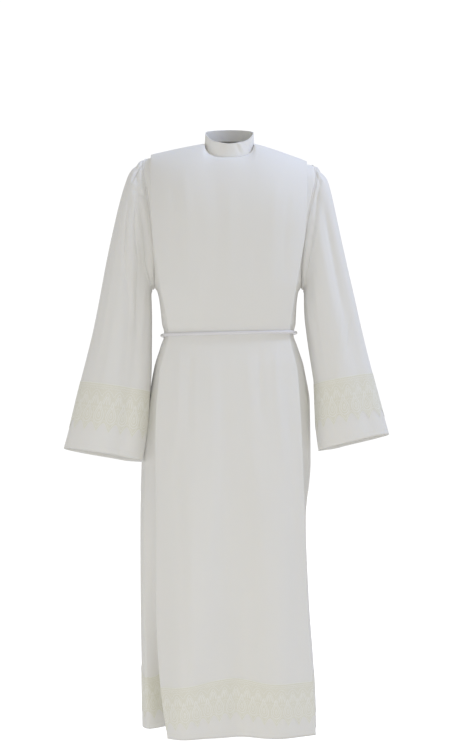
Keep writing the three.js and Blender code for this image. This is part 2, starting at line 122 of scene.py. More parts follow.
# Pressed pleats that part the flat middle of a panel from its sides: each folded edge, how far the
# cloth steps in behind it and runs back under it, and how far the side beyond it bulges
PLEAT_NAMES = "z right left right_step left_step tuck right_bulge left_bulge"
FRONT_PLEATS = table(
    PLEAT_NAMES,
    (HEM_Z, 146, 207, 158, 34, 6, 50, 4),
    (-1291, 165, 199, 130, 34, 7, 36, 4),
    (-1120, 175, 188, 92, 36, 8, 24, 6),
    (-900, 176, 181, 56, 40, 8, 14, 8),
    (-720, 178, 174, 36, 34, 8, 8, 8),
    (-560, 168, 164, 20, 20, 7, 5, 5),
    (WAIST_Z, 148, 146, 7, 7, 4, 2, 2),
    (ARMPIT_Z, 168, 162, 16, 16, 9, 2, 2),
    (-220, 186, 183, 20, 19, 11, 0, 0),
    (-60, 193, 190, 16, 15, 9, 0, 0),
)
BACK_PLEATS = table(
    PLEAT_NAMES,
    (HEM_Z, 168, 160, 46, 56, 8, 14, 18),
    (-1120, 162, 156, 36, 42, 8, 12, 14),
    (-784, 156, 152, 26, 28, 8, 10, 10),
    (-560, 148, 146, 14, 14, 6, 5, 5),
    (WAIST_Z, 138, 136, 7, 7, 4, 2, 2),
    (ARMPIT_Z, 156, 152, 12, 12, 6, 2, 2),
    (-220, 178, 175, 12, 12, 6, 0, 0),
    (-60, 193, 190, 7, 7, 5, 0, 0),
)

# Soft flutes of the skirt: the height and place where each starts, the place where it meets the
# hem, its width, and how far it stands out
FRONT_FLUTES = [
    (-500, -66, -112, 44, 26),
    (-620, 14, 27, 40, -20),
    (-540, 88, 124, 44, 14),
]
BACK_FLUTES = [
    (-500, -82, -118, 36, 22),
    (-560, -26, -42, 32, -18),
    (-500, 34, 46, 36, 20),
    (-580, 86, 104, 30, -14),
]

# Creases of the flat middles: from a point above to a point below, sideways bend, half-width, and
# how far the cloth stands out. One that ends below the hem runs out over it.
FRONT_CREASES = [
    (-34, -60, -30, -420, 4, 16, -1.6),
    (6, -90, 2, -450, -3, 13, 1.3),
    (-112, -60, -98, -400, 8, 13, 1.8),
    (-140, -90, -128, -330, 5, 9, -1.8),
    (118, -70, 104, -410, -9, 14, 1.9),
    (146, -110, 132, -360, -6, 9, -1.9),
    (60, -250, 44, -455, 4, 12, -1.3),
    (-70, -300, -58, -460, -4, 11, 1.5),
    (-118, -474, -146, -860, 8, 11, 2.6),
    (-86, -474, -92, -760, -6, 9, -2.4),
    (-44, -474, -38, -980, 5, 15, 1.6),
    (-14, -474, -6, -1240, -6, 20, -2.2),
    (38, -474, 56, -900, 7, 13, 2.0),
    (72, -474, 84, -720, -5, 9, -2.2),
    (112, -474, 140, -820, -9, 11, 2.6),
    (132, -480, 160, -1500, 10, 15, -2.6),
    (-30, -760, -58, -1500, -9, 22, 3.0),
    (66, -700, 74, -1560, 8, 20, 2.4),
    (-128, -700, -100, -1500, 7, 13, -2.6),
]
BACK_CREASES = [
    (-24, -20, -18, -430, -5, 15, 1.6),
    (36, -30, 26, -400, 6, 12, -1.5),
    (-96, -50, -80, -440, 9, 14, -1.9),
    (104, -70, 84, -440, -8, 15, 2.0),
    (-136, -110, -122, -360, 6, 9, 2.0),
    (138, -130, 126, -350, -5, 9, -1.8),
    (-56, -330, -48, -462, 3, 9, 2.2),
    (8, -350, 4, -462, 2, 8, -2.0),
    (58, -340, 50, -462, -3, 9, 2.2),
    (-112, -474, -132, -780, 6, 10, 2.8),
    (-66, -474, -84, -1040, -7, 12, -2.8),
    (-20, -474, -12, -900, 5, 11, 2.6),
    (14, -474, 22, -1300, 7, 16, -3.0),
    (60, -474, 66, -840, -6, 10, 2.4),
    (88, -474, 112, -1120, 8, 13, -2.8),
    (120, -474, 138, -700, -5, 9, 2.4),
    (-98, -900, -70, -1500, 8, 18, 3.2),
    (4, -840, -6, -1500, -9, 17, 3.0),
    (76, -980, 70, -1540, 9, 15, 2.6),
]

# Creases of the sides, in the same way but with no bend, their places and widths being shares of
# the way from the pleat (0) to the side seam (1)
SIDE_CREASES = {
    ("front", "right"): [
        (0.45, -480, 0.58, -1560, 0.10, 5.0),
        (0.72, -700, 0.80, -1520, 0.07, -3.4),
        (0.30, -900, 0.26, -1500, 0.09, -4.0),
    ],
    ("front", "left"): [
        (0.40, -480, 0.52, -980, 0.16, 2.6),
        (0.70, -560, 0.74, -1300, 0.12, -2.2),
    ],
    ("back", "right"): [
        (0.35, -480, 0.44, -1500, 0.12, 3.6),
        (0.68, -620, 0.72, -1180, 0.10, -3.0),
    ],
    ("back", "left"): [
        (0.32, -480, 0.36, -1040, 0.12, -3.0),
        (0.60, -520, 0.66, -1500, 0.12, 3.8),
    ],
}

# How the cloth draws in under the cord and swells above and below it: height from the cord, depth
WAIST_PUFF = [
    *[(-120, 0), (-62, 1.6), (-28, 2.4), (-9, -0.6), (0, -1.6)],
    *[(9, -0.6), (26, 2.8), (60, 1.8), (110, 0)],
]

# Shares of a crease's length over which it fades in and out, how its width grows down it, and shares
# of a side's width over which its creases fade towards the pleat and the seam
CREASE_FADE = (0.22, 0.35)
CREASE_SPREAD = (0.75, 1.25)
SIDE_CREASE_FADE = (0.25, 0.25)
SIDE_CREASE_EDGES = (0.2, 0.15)
SLEEVE_CREASE_FADE = (0.3, 0.25)
COLLAR_CREASE_FADE = (0.35, 0.2)

# What is the front's and what is the back's; dip shapes how the neckline falls towards the middle
FACES = {
    "front": SimpleNamespace(
        name="front",
        out=-1,
        reach=NECK_FRONT,
        neck_z=NECK_FRONT_Z,
        dip=1.35,
        pleats=FRONT_PLEATS,
        flutes=FRONT_FLUTES,
        creases=FRONT_CREASES,
    ),
    "back": SimpleNamespace(
        name="back",
        out=1,
        reach=NECK_BACK,
        neck_z=NECK_BACK_Z,
        dip=1.0,
        pleats=BACK_PLEATS,
        flutes=BACK_FLUTES,
        creases=BACK_CREASES,
    ),
}

# The solids that each panel stands for
PANEL_NODES = {
    name: [
        *(f"{part}_{name}" for part in ("skirt", "waist", "chest", "neck")),
        *(f"shoulder_{name}_{side}" for side in SIDES),
    ]
    for name in FACES
}

# Roundness of the body's sections, and how the chest and shoulders round over to the seams
SECTION_POWER = 2.6
SHOULDER_POWER = 2.2
SHOULDER_ROUND = 190

# The shoulder seams, from the neck to the pleat's folded edge and on to the sleeve
SHOULDERS = {
    "right": {"edge_x": 193, "edge_z": -28, "end_z": -39},
    "left": {"edge_x": 190, "edge_z": -44, "end_z": -54},
}
SHOULDER_Y = 11
SHOULDER_SLOPE = 1.15

# The pleats at the shoulder seam: how far the cloth steps down and runs back under, and how
# suddenly the pleat turns into that at its top
SHOULDER_STEP = 7
SHOULDER_TUCK = 6
SHOULDER_TURN = 10

# Share of the height of chest and shoulder over which the neckline's curve is evened out below it
NECK_EASE_FADE = 0.14

# The armhole from the armpit (share 0) to the end of the shoulder seam (share 1)
ARMHOLE = table(
    "share right left front back",
    (0, 184, 176, 6, 6),
    (0.03, 183, 175, -10, 22),
    (0.12, 182, 174, -26, 38),
    (0.25, 183, 177, -36, 50),
    (0.41, 187, 183, -42, 57),
    (0.59, 194, 192, -43, 59),
    (0.75, 203, 203, -39, 54),
    (0.88, 211, 212, -25, 41),
    (0.97, 210, 209, -4, 24),
    (1, 206, 203, SHOULDER_Y, SHOULDER_Y),
)

# The pressed roll beside each armhole and the dips each side of it: how far out across the side of
# the panel each lies, its width, and how far the cloth stands out. They start at a share of the
# armhole's height, grow over the next, and fade over the last.
ARMHOLE_ROLLS = [(0.70, 0.09, -1.8), (0.86, 0.05, 2.2), (0.96, 0.03, -1.0)]
ROLL_START = 0.2
ROLL_GROWTH = 0.3
ROLL_FADE = 0.04

# Each sleeve down its length: the outer and inner lines of its rings, its front and back, and how
# much lower the back of the ring lies than its front
SLEEVE_NAMES = "outer_x outer_z inner_x inner_z front_y back_y tilt"
SLEEVES = {
    "right": table(
        SLEEVE_NAMES,
        (402, -747, 213, -778, -92, 34, 17),
        (389, -698, 204, -729, -90, 36, 15),
        (362, -584, 194, -608, -86, 43, 12),
        (350, -536, 191, -572, -83, 47, 10),
        (333, -466, 190, -530, -80, 51, 8),
        (317, -385, 190, -485, -76, 56, 5),
        (300, -291, 190, -432, -73, 61, 3),
        (282, -205, 191, -397, -69, 66, 2),
        (266, -137, 192, -377, -65, 69, 0),
        (252, -92, 192, -366, -60, 70, 0),
        (232, -58, 191, -361, -54, 66, 0),
    ),
    "left": table(
        SLEEVE_NAMES,
        (388, -713, 217, -752, -90, 36, 14),
        (376, -670, 211, -702, -88, 38, 13),
        (348, -564, 206, -590, -84, 44, 11),
        (335, -512, 201, -553, -81, 48, 9),
        (320, -448, 196, -520, -78, 52, 7),
        (304, -375, 189, -470, -75, 57, 5),
        (287, -300, 184, -424, -72, 62, 3),
        (270, -222, 183, -393, -68, 66, 2),
        (256, -155, 183, -376, -64, 69, 0),
        (244, -106, 183, -366, -60, 69, 0),
        (226, -72, 183, -361, -54, 65, 0),
    ),
}
SLEEVE_POWER = 2.2
SLEEVE_DEGREES = np.linspace(0, 360, 181)[:-1]

# Shares of a sleeve's length at which its rings of points lie, closer together at its head
SLEEVE_SHARES = np.concatenate([np.linspace(0, 0.9, 110), np.linspace(0.9, 1, 34)[1:]])

# The rings of the table that the lower and upper edges of the cuff lace lie on
SLEEVE_LACE_RINGS = (1, 2)

# Soft folds down the sleeves: the angle round the ring from its outer line, by way of the front,
# the width in degrees, and how far the cloth stands out at the cuff and at the shoulder
SLEEVE_FOLDS = {
    "right": [(118, 16, -10, -7), (76, 18, 4, 5), (236, 18, -9, -6)],
    "left": [(62, 18, -6, -6), (104, 20, 4, 3), (242, 18, -9, -6)],
}

# Creases of the sleeves: angle and share of the length from the cuff where each starts and ends,
# its half-width in degrees, and how far the cloth stands out
SLEEVE_CREASES = {
    "right": [
        (106, 0.22, 94, 0.72, 7, -3.0),
        (97, 0.64, 50, 0.945, 4.5, -3.8),
        (122, 0.50, 106, 0.89, 5, -2.8),
        (110, 0.84, 60, 0.975, 3.6, -3.8),
        (110, 0.56, 86, 0.90, 6, 2.2),
        (56, 0.32, 50, 0.96, 9, 2.0),
        (66, 0.16, 62, 0.62, 8, -1.8),
        (140, 0.36, 146, 0.92, 8, -2.2),
        (20, 0.60, 24, 0.97, 8, -2.0),
        (38, 0.935, 22, 1.01, 3.2, -7.0),
        (38, 0.93, 68, 1.01, 2.4, 2.6),
        (46, 0.93, 76, 1.01, 2.4, -2.8),
        (58, 0.95, 64, 1.02, 3, 2.2),
        (206, 0.20, 212, 0.90, 11, 2.6),
        (262, 0.10, 274, 0.80, 12, 2.2),
        (300, 0.50, 310, 1.00, 10, -2.4),
    ],
    "left": [
        (36, 0.34, 44, 0.94, 9, 2.0),
        (66, 0.50, 58, 0.95, 8, -3.2),
        (84, 0.36, 88, 1.00, 8, 1.8),
        (132, 0.30, 126, 0.94, 8, -2.2),
        (150, 0.52, 146, 0.90, 6, 2.0),
        (110, 0.14, 116, 0.60, 8, -1.8),
        (96, 0.40, 66, 0.58, 6, 1.8),
        (84, 0.36, 50, 0.52, 5, -1.8),
        (42, 0.95, 34, 1.02, 3, -3.0),
        (32, 0.94, 26, 1.02, 3, 2.6),
        (22, 0.95, 18, 1.02, 3, -2.4),
        (210, 0.24, 204, 0.86, 11, 2.6),
        (268, 0.12, 280, 0.78, 12, 2.4),
        (306, 0.48, 300, 1.00, 10, -2.2),
    ],
}

# The puffs and dips round the head of each sleeve: share of the length before the seam, width and
# depth. The creases fade over the last share before the seam.
SLEEVE_HEAD = [(0.016, 0.010, 3.2), (0.036, 0.008, -1.8), (0.060, 0.016, 1.4)]
SLEEVE_SEAM_FADE = 0.02

# How far the lower edge of the hem lace lies above the hem, round the body (0 is the wearer's left,
# -90 the front)
LACE_RISE = [
    *[(-180, 33), (-173, 24), (-142, 18), (-127, 21), (-103, 37), (-86, 41), (-70, 37), (-50, 29)],
    *[(-26, 29), (0, 34), (48, 26), (92, 44), (138, 24), (173, 44), (180, 33)],
]

# How far the surface that the lace is laid on goes on above and below it, how near its repeats'
# points are joined, and the sharpest fold in degrees that is shaded as a curve
LACE_MARGIN = 5
MERGE_DISTANCE = 0.02
LACE_SHARP_ANGLE = 62

# Stitches: the gap between two, the thread's radius, the height of the hem's row, and the ring of
# points of a sleeve that the cuff's row lies on
STITCH_GAP = 0.9
THREAD_RADIUS = 0.22
HEM_STITCH_HEIGHT = 14
CUFF_STITCH_RING = 3

# How far the ridges of the armhole and neck seams stand out from the middle of the cloth
ARMHOLE_RIDGE_LIFT = 0.9
NECK_RIDGE_LIFT = 0.3

# The mesh of a panel: where the rounding of a pleat starts on the flat middle and where the side
# starts beyond it, the most of a pleat's depth that is rounded, how much closer together the rows
# are above the armpits, and the columns of points over each zone of half a panel
FOLD_START = 0.98
FLANK_START = 0.06
MOST_ROUNDING = 0.42
CHEST_DENSITY = 1.25
ZONE_COLUMNS = {"middle": 44, "fold": 6, "wall": 9, "tuck": 5, "flank": 22}

# The mesh of the other pieces: points across the front or back of the collar and up it, points
# round the waist, and sides of the cord, the ridges and the stitches
COLLAR_COLUMNS = 91
COLLAR_ROWS = 21
WAIST_POINTS = 180
CORD_SIDES = 14
RIDGE_SIDES = 8
STITCH_SIDES = 5

# The mesh of one repeat of the lace: rows of the band that it is laid on, columns and rows of the
# net ground, and steps from one point of a soft outline to the next
BAND_ROWS = 24
NET_COLUMNS = 13
NET_ROWS = 10
OUTLINE_STEPS = 3

# The studio, in metres: half the floor's width, what the lights point at, and how far the camera
# sees; and the brightness of the room behind the garment
FLOOR_REACH = 9
LIGHT_TARGET = (0, 0, -0.7)
SIGHT = 100
ROOM_BRIGHTNESS = 1.05

# The pointed lower edge of the lace, over the left half of one repeat: shares of the pitch across
# and millimetres above the tips
LACE_EDGE = [(0, 19), (0.12, 17), (0.24, 12.5), (0.35, 7), (0.44, 2.5), (0.5, 0)]

# The outer line of half a drop, in the same measures
DROP = [(0.5, 64), (0.42, 56), (0.28, 47), (0.15, 39), (0.11, 31), (0.20, 24), (0.34, 20), (0.5, 18.5)]

# The chart of one repeat of the lace, by the lines of its left half: whether each is joined to its
# mirror image, paired with it or alone, whether it bends smoothly, how wide its cord is as a share
# of the widest, and its points as above
LACE_CHART = [
    # Straight heading with a second line and a row of small zigzags
    ("joined", False, 0.8, [(0, 100), (0.25, 100), (0.5, 100)]),
    ("joined", False, 0.3, [(0, 95), (0.25, 95), (0.5, 95)]),
    ("joined", False, 0.35, [(0, 89), (0.125, 92), (0.25, 89), (0.375, 92), (0.5, 89)]),
    # Swags between the arches
    ("joined", True, 0.35, [(0, 86), (0.16, 85), (0.34, 80), (0.5, 74)]),
    # Ogive arches, each over a leaf of three veins and two small feet
    ("paired", True, 0.45, [(0, 81), (0.09, 78), (0.20, 72), (0.31, 64), (0.40, 56), (0.46, 49)]),
    ("alone", True, 0.6, [(0, 70), (0, 64), (0, 57)]),
    ("paired", True, 0.75, [(0.04, 74), (0.12, 69), (0.19, 63), (0.24, 57)]),
    ("paired", True, 0.35, [(0.03, 53), (0.12, 50), (0.20, 50)]),
    # Wide drops between the arches, twice outlined round a small lobe
    ("paired", True, 0.6, DROP),
    ("joined", True, 0.5, [(0.5, 50), (0.38, 45), (0.28, 38), (0.26, 31), (0.36, 26), (0.5, 24.5)]),
    ("joined", True, 0.5, [(0.5, 41), (0.45, 38), (0.43, 34), (0.46, 30.5), (0.5, 30)]),
    # Stems between the drops
    ("alone", True, 0.35, [(0, 47), (0, 42), (0, 36)]),
    # Pointed lower edge, with a second line above it
    ("joined", False, 0.35, LACE_EDGE),
    ("joined", True, 0.35, [(0, 24), (0.14, 22), (0.28, 16.5), (0.40, 11), (0.5, 8)]),
]


class ClothSizes(bpy.types.PropertyGroup):
    """Sizes of the cloth pieces and how finely they are divided."""

    thickness: FloatProperty(
        name="Cloth Thickness",
        description="Thickness of the cloth's walls",
        default=1.2 * MM,
        min=0.4 * MM,
        unit="LENGTH",
    )
    collar_thickness: FloatProperty(
        name="Collar Thickness",
        description="Thickness of the doubled collar",
        default=2.0 * MM,
        min=0.8 * MM,
        unit="LENGTH",
    )
    pleat_round: FloatProperty(
        name="Pleat Rounding",
        description="How far the folded edge of a pressed pleat is rounded",
        default=2.5 * MM,
        unit="LENGTH",
    )
    row_spacing: FloatProperty(
        name="Row Spacing",
        description="Height of the mesh's rows on the body",
        default=6.2 * MM,
        min=3 * MM,
        unit="LENGTH",
    )
    ridge_radius: FloatProperty(
        name="Armhole Ridge", description="Radius of an armhole's ridge", default=1.9 * MM, unit="LENGTH"
    )
    seam_radius: FloatProperty(
        name="Seam Ridge", description="Radius of any other seam's ridge", default=0.8 * MM, unit="LENGTH"
    )
    stitch_length: FloatProperty(
        name="Stitch Length",
        description="Length of one stitch",
        default=2.6 * MM,
        min=1 * MM,
        unit="LENGTH",
    )


class LaceSizes(bpy.types.PropertyGroup):
    """Sizes of the lace bands."""

    pitch: FloatProperty(
        name="Pitch",
        description="Width of one repeat of the lace, before it is fitted round",
        default=28.4 * MM,
        min=10 * MM,
        unit="LENGTH",
    )
    ground_thickness: FloatProperty(
        name="Ground Thickness", description="Thickness of the net ground", default=0.4 * MM, unit="LENGTH"
    )
    lift: FloatProperty(
        name="Lift", description="Gap between the cloth and the lace on it", default=0.3 * MM, unit="LENGTH"
    )
    cord_width: FloatProperty(
        name="Outline Width", description="Width of the widest outlines", default=2.8 * MM, unit="LENGTH"
    )
    cord_height: FloatProperty(
        name="Outline Height", description="Height of the widest outlines", default=1.4 * MM, unit="LENGTH"
    )


class CordSizes(bpy.types.PropertyGroup):
    """Sizes of the waist cord."""

    diameter: FloatProperty(
        name="Diameter", description="Diameter of the waist cord", default=8.4 * MM, unit="LENGTH"
    )
    gap: FloatProperty(
        name="Gap", description="Gap between the waist cord and the cloth", default=1.5 * MM, unit="LENGTH"
    )
    tilt: FloatProperty(
        name="Tilt", description="How far the cord rises to the wearer's left, in degrees", default=1.2
    )


class Finishes(bpy.types.PropertyGroup):
    """Colours of the cloth, lace, cord and thread, as sRGB hex values."""

    cloth: StringProperty(name="Cloth", description="Off-white cloth", default="f5f4f1")
    lace_ground: StringProperty(name="Lace Ground", description="Cream net ground", default="f1f0e6")
    lace_outline: StringProperty(name="Lace Outline", description="White raised outlines", default="fbfbf6")
    cord: StringProperty(name="Cord", description="White satin cord", default="ecebee")
    thread: StringProperty(name="Thread", description="Sewing thread", default="f2f0ea")
    floor: StringProperty(name="Floor", description="Pale studio floor", default="fafafa")


class StageSettings(bpy.types.PropertyGroup):
    """Camera and light."""

    camera_distance: FloatProperty(
        name="Camera Distance", description="From the garment forwards", default=4, unit="LENGTH"
    )
    camera_height: FloatProperty(
        name="Camera Height", description="Height of the camera", default=-0.568, unit="LENGTH"
    )
    camera_side: FloatProperty(
        name="Camera Side", description="Sideways place of the camera", default=0.0147, unit="LENGTH"
    )
    focal_length: FloatProperty(
        name="Focal Length", description="Focal length of the camera in millimetres", default=78.37, min=10
    )
    floor_gap: FloatProperty(
        name="Floor Gap", description="Height of the hem above the floor", default=0.065, unit="LENGTH"
    )
    ambient: FloatProperty(
        name="Ambient Light", description="Strength of the even light from all round", default=0.54, min=0
    )
    key: FloatProperty(name="Key Light", description="Power on the wearer's right", default=18, min=0)
    fill: FloatProperty(name="Fill Light", description="Power on the wearer's left", default=7, min=0)
    top: FloatProperty(name="Top Light", description="Power of the cool light from above", default=42, min=0)
    low: FloatProperty(name="Low Light", description="Power in front of the skirt", default=4.9, min=0)


GROUPS = {
    "alb_cloth": ClothSizes,
    "alb_lace": LaceSizes,
    "alb_cord": CordSizes,
    "alb_finishes": Finishes,
    "alb_stage": StageSettings,
}


# ---------------------------------------------------------------------------------------------
# Surfaces


def lerp(a, b, share):
    return a + (b - a) * share


def smooth(value):
    value = np.clip(value, 0, 1)
    return value * value * (3 - 2 * value)


def taper(share, start, end):
    """Fades in over the first share of a length and out over its last."""
    return smooth(share / start) * smooth((1 - share) / end)


def bell(offset, width):
    """How much of a fold's depth is left at an offset from its line."""
    return np.exp(-((offset / width) ** 2))


def running(steps):
    """How far each point lies from the first, from the steps between them."""
    return np.concatenate([[0], np.cumsum(steps)])


def track(keys, values, at):
    """Values at places along their keys, on a smooth curve with no overshoot."""
    keys, values, at = np.asarray(keys, float), np.asarray(values, float), np.asarray(at, float)
    wide = values.ndim - 1
    gaps = np.diff(keys)
    slopes = np.diff(values, axis=0) / gaps.reshape((-1,) + (1,) * wide)
    product = slopes[:-1] * slopes[1:]
    total = np.where(product > 0, slopes[:-1] + slopes[1:], 1)
    tangents = np.concatenate([slopes[:1], np.where(product > 0, 2 * product / total, 0), slopes[-1:]])
    i = np.clip(np.searchsorted(keys, at, side="right") - 1, 0, len(keys) - 2)
    f = np.clip((at - keys[i]) / gaps[i], 0, 1).reshape(at.shape + (1,) * wide)
    width = gaps[i].reshape(at.shape + (1,) * wide)
    start = (1 + 2 * f) * (1 - f) ** 2 * values[i] + f * (1 - f) ** 2 * width * tangents[i]
    end = f**2 * (3 - 2 * f) * values[i + 1] - f**2 * (1 - f) * width * tangents[i + 1]
    return start + end


def section(column, z):
    return track(SECTIONS["z"], SECTIONS[column], z)


def pleat(face, column, z):
    return track(face.pleats["z"], face.pleats[column], z)


def waist_puff(z):
    """How far the cloth stands out near the cord."""
    return track(*zip(*WAIST_PUFF), z - WAIST_Z)


def joined(x, y, z):
    return np.stack(np.broadcast_arrays(x, y, z), axis=-1).astype(float)


def panel_depth(face, x, z):
    """How far out the flat middle of a panel lies."""
    rounded = 1 - np.abs(x / section("span", z)) ** SECTION_POWER
    depth = section(face.name, z) * rounded ** (1 / SECTION_POWER)
    for top_z, top_x, hem_x, width, out in face.flutes:
        fall = (top_z - z) / (top_z - HEM_Z)
        depth = depth + out * smooth(fall) * bell(x - lerp(top_x, hem_x, fall), width)
    return depth


def crease_depth(face, x, z):
    """How far the creases of the flat middle stand out."""
    total = np.zeros(np.broadcast(x, z).shape)
    for top_x, top_z, low_x, low_z, bend, width, out in face.creases:
        along = (top_z - z) / (top_z - low_z)
        within = np.clip(along, 0, 1)
        centre = lerp(top_x, low_x, along) + bend * np.sin(np.pi * within)
        spread = width * lerp(*CREASE_SPREAD, within)
        total = total + out * taper(along, *CREASE_FADE) * bell(x - centre, spread)
    return total


def side_crease_depth(face, side, across, z):
    """How far the creases of a side stand out."""
    total = np.zeros(np.broadcast(across, z).shape)
    for top, top_z, low, low_z, width, out in SIDE_CREASES[face.name, side]:
        along = (top_z - z) / (top_z - low_z)
        total = total + out * taper(along, *SIDE_CREASE_FADE) * bell(across - lerp(top, low, along), width)
    return total * taper(across, *SIDE_CREASE_EDGES)


def top_point(face, side, share):
    """A point of the neckline or shoulder seam, from the middle (0) to the pleat's folded edge (1)."""
    shoulder = SHOULDERS[side]
    x = share * shoulder["edge_x"]
    if x <= NECK_HALF_WIDTH + TINY:
        turn = math.asin(min(1, x / NECK_HALF_WIDTH))
        y = NECK_SIDE_Y + face.out * (face.reach - face.out * NECK_SIDE_Y) * math.cos(turn)
        z = lerp(face.neck_z, NECK_SIDE_Z, (1 - math.cos(turn)) ** face.dip)
    else:
        run = (x - NECK_HALF_WIDTH) / (shoulder["edge_x"] - NECK_HALF_WIDTH)
        y = lerp(NECK_SIDE_Y, SHOULDER_Y, run)
        z = lerp(NECK_SIDE_Z, shoulder["edge_z"], run**SHOULDER_SLOPE)
    return SIDES[side] * x, y, z


def armhole_point(side, face, share):
    """Points of an armhole, from the armpit (0) to the shoulder seam (1)."""
    x = SIDES[side] * track(ARMHOLE["share"], ARMHOLE[side], share)
    y = track(ARMHOLE["share"], ARMHOLE[face.name], share)
    return joined(x, y, lerp(ARMPIT_Z, SHOULDERS[side]["end_z"], share))


def top_share(side, low):
    """How far along the neckline and shoulder the cloth ends that lies this far out in the skirt."""
    neck = NECK_HALF_WIDTH / SHOULDERS[side]["edge_x"]
    low = min(abs(low), 1)
    if low <= NECK_PART:
        return neck * math.sin(low / NECK_PART * math.pi / 2)
    return lerp(neck, 1, (low - NECK_PART) / (1 - NECK_PART))


@functools.cache
def eased_top(name, side, low):
    """Depth and height of the top edge, averaged over the cloth on both sides."""
    offsets = np.linspace(-NECK_EASE, NECK_EASE, 9)
    near = [top_point(FACES[name], side, top_share(side, low + offset))[1:] for offset in offsets]
    return tuple(np.average(near, axis=0, weights=np.cos(offsets / NECK_EASE * NECK_EASE_TURN)))


def middle_point(face, side, low, top, z, share):
    """Points on the flat middle of a panel.

    low and top say how far from the middle to the folded edge they lie, below the armpits and at the
    top edge. They lie at levels z, or at shares of the height above the armpits where those are over 0.
    """
    top_x, top_y, top_z = top_point(face, side, top)
    level = np.where(share > 0, lerp(ARMPIT_Z, top_z, share), z)
    eased_y, eased_z = eased_top(face.name, side, round(low, 4))
    easing = smooth((1 - share) / NECK_EASE_FADE)
    top_y, top_z = lerp(top_y, eased_y, easing), lerp(top_z, eased_z, easing)
    x = SIDES[side] * lerp(low, top, share**2) * pleat(face, side, level)
    depth = panel_depth(face, x, level) + crease_depth(face, x, level) + waist_puff(level)
    lift = np.clip((top_z - level) / SHOULDER_ROUND, 0, 1)
    rounding = (1 - (1 - lift) ** SHOULDER_POWER) ** (1 / SHOULDER_POWER)
    return joined(np.where(share == 1, top_x, x), lerp(top_y, face.out * depth, rounding), level)


def under_fold(face, side, z, share):
    """The folded edge of a pleat, and where its cloth turns out again behind it."""
    folded = middle_point(face, side, 1, 1, z, share)
    over = share**SHOULDER_TURN
    step = lerp(pleat(face, f"{side}_step", folded[:, 2]), SHOULDER_STEP, over)
    tuck = lerp(pleat(face, "tuck", folded[:, 2]), SHOULDER_TUCK, over)
    inward = joined(0, -face.out * (1 - over), -over)
    inward /= np.linalg.norm(inward, axis=1, keepdims=True)
    under = folded + inward * step[:, None]
    under[:, 0] -= SIDES[side] * tuck
    return folded, under


def flank_point(face, side, out, z, share):
    """Points of the side beyond a pleat, from under its fold out to the side seam or armhole."""
    folded, under = under_fold(face, side, z, share)
    level = folded[:, 2]
    side_seam = joined(SIDES[side] * section(side, z), section("seam_y", z), z)
    seam = np.where((share > 0)[:, None], armhole_point(side, face, share), side_seam)
    bulge = pleat(face, f"{side}_bulge", level) * (1 - share) * math.sin(math.pi * out)
    points = joined(
        lerp(under[:, 0], seam[:, 0], math.sin(math.pi / 2 * out)),
        lerp(under[:, 1], seam[:, 1], out) + face.out * bulge,
        lerp(under[:, 2], seam[:, 2], out),
    )
    across = seam - under
    facing = joined(across[:, 1], -across[:, 0], 0)
    facing *= np.sign(facing[:, :1] * SIDES[side] + facing[:, 1:2] * face.out + TINY)
    facing /= np.linalg.norm(facing, axis=1, keepdims=True) + TINY
    roll = sum(depth * bell(out - centre, width) for centre, width, depth in ARMHOLE_ROLLS)
    rolled = roll * smooth((share - ROLL_START) / ROLL_GROWTH) * smooth((1 - share) / ROLL_FADE)
    loose = (side_crease_depth(face, side, out, level) + waist_puff(level)) * (1 - share)
    return points + facing * (loose + rolled)[:, None]


def bend_round(start, corner, end, t):
    """A point on the curve that rounds a corner."""
    return (1 - t) ** 2 * start + 2 * t * (1 - t) * corner + t**2 * end


def panel_columns(face):
    """Columns of a panel from the wearer's right to the left, as zone, side and place in the zone.

    The back's run the other way, so that each panel's rows run to the right when seen from outside.
    """
    half = {}
    for side in SIDES:
        places = {zone: np.linspace(0, 1, count) for zone, count in ZONE_COLUMNS.items()}
        places["middle"] = [(low, top_share(side, low)) for low in places["middle"][:-2]]
        places["wall"] = places["wall"][1:-1]
        places["flank"] = lerp(FLANK_START, 1, places["flank"][1:])
        half[side] = [(zone, side, place) for zone, found in places.items() for place in found]
    columns = half["right"][:0:-1] + half["left"]
    return columns if face.out < 0 else columns[::-1]


def panel_column(face, column, z, share):
    """Points of one column at levels z, or at shares of the height above the armpits."""
    zone, side, place = column
    if zone == "middle":
        return middle_point(face, side, *place, z, share)
    if zone == "flank":
        return flank_point(face, side, place, z, share)
    folded, under = under_fold(face, side, z, share)
    depth = under - folded
    length = np.linalg.norm(depth, axis=1, keepdims=True)
    rounding = depth * np.minimum(MOST_ROUNDING, bpy.context.scene.alb_cloth.pleat_round / MM / length)
    behind, before = folded + rounding, under - rounding
    if zone == "fold":
        return bend_round(middle_point(face, side, FOLD_START, FOLD_START, z, share), folded, behind, place)
    if zone == "wall":
        return lerp(behind, before, place)
    return bend_round(before, under, flank_point(face, side, FLANK_START, z, share), place)


def skirt_column(face, column, z):
    """Points of one column at levels below the armpits."""
    return panel_column(face, column, np.asarray(z, float), np.zeros(len(z)))


def panel_grid(name):
    """Rows of a panel from the hem up to the shoulders."""
    face = FACES[name]
    spacing = bpy.context.scene.alb_cloth.row_spacing / MM
    skirt = np.linspace(HEM_Z, ARMPIT_Z, round((ARMPIT_Z - HEM_Z) / spacing))[:-1]
    shares = (1 - np.cos(np.linspace(0, math.pi, round(-ARMPIT_Z / spacing * CHEST_DENSITY)))) / 2
    z = np.concatenate([skirt, np.full(len(shares), ARMPIT_Z)])
    share = np.concatenate([np.zeros(len(skirt)), shares])
    return np.stack([panel_column(face, column, z, share) for column in panel_columns(face)], axis=1)


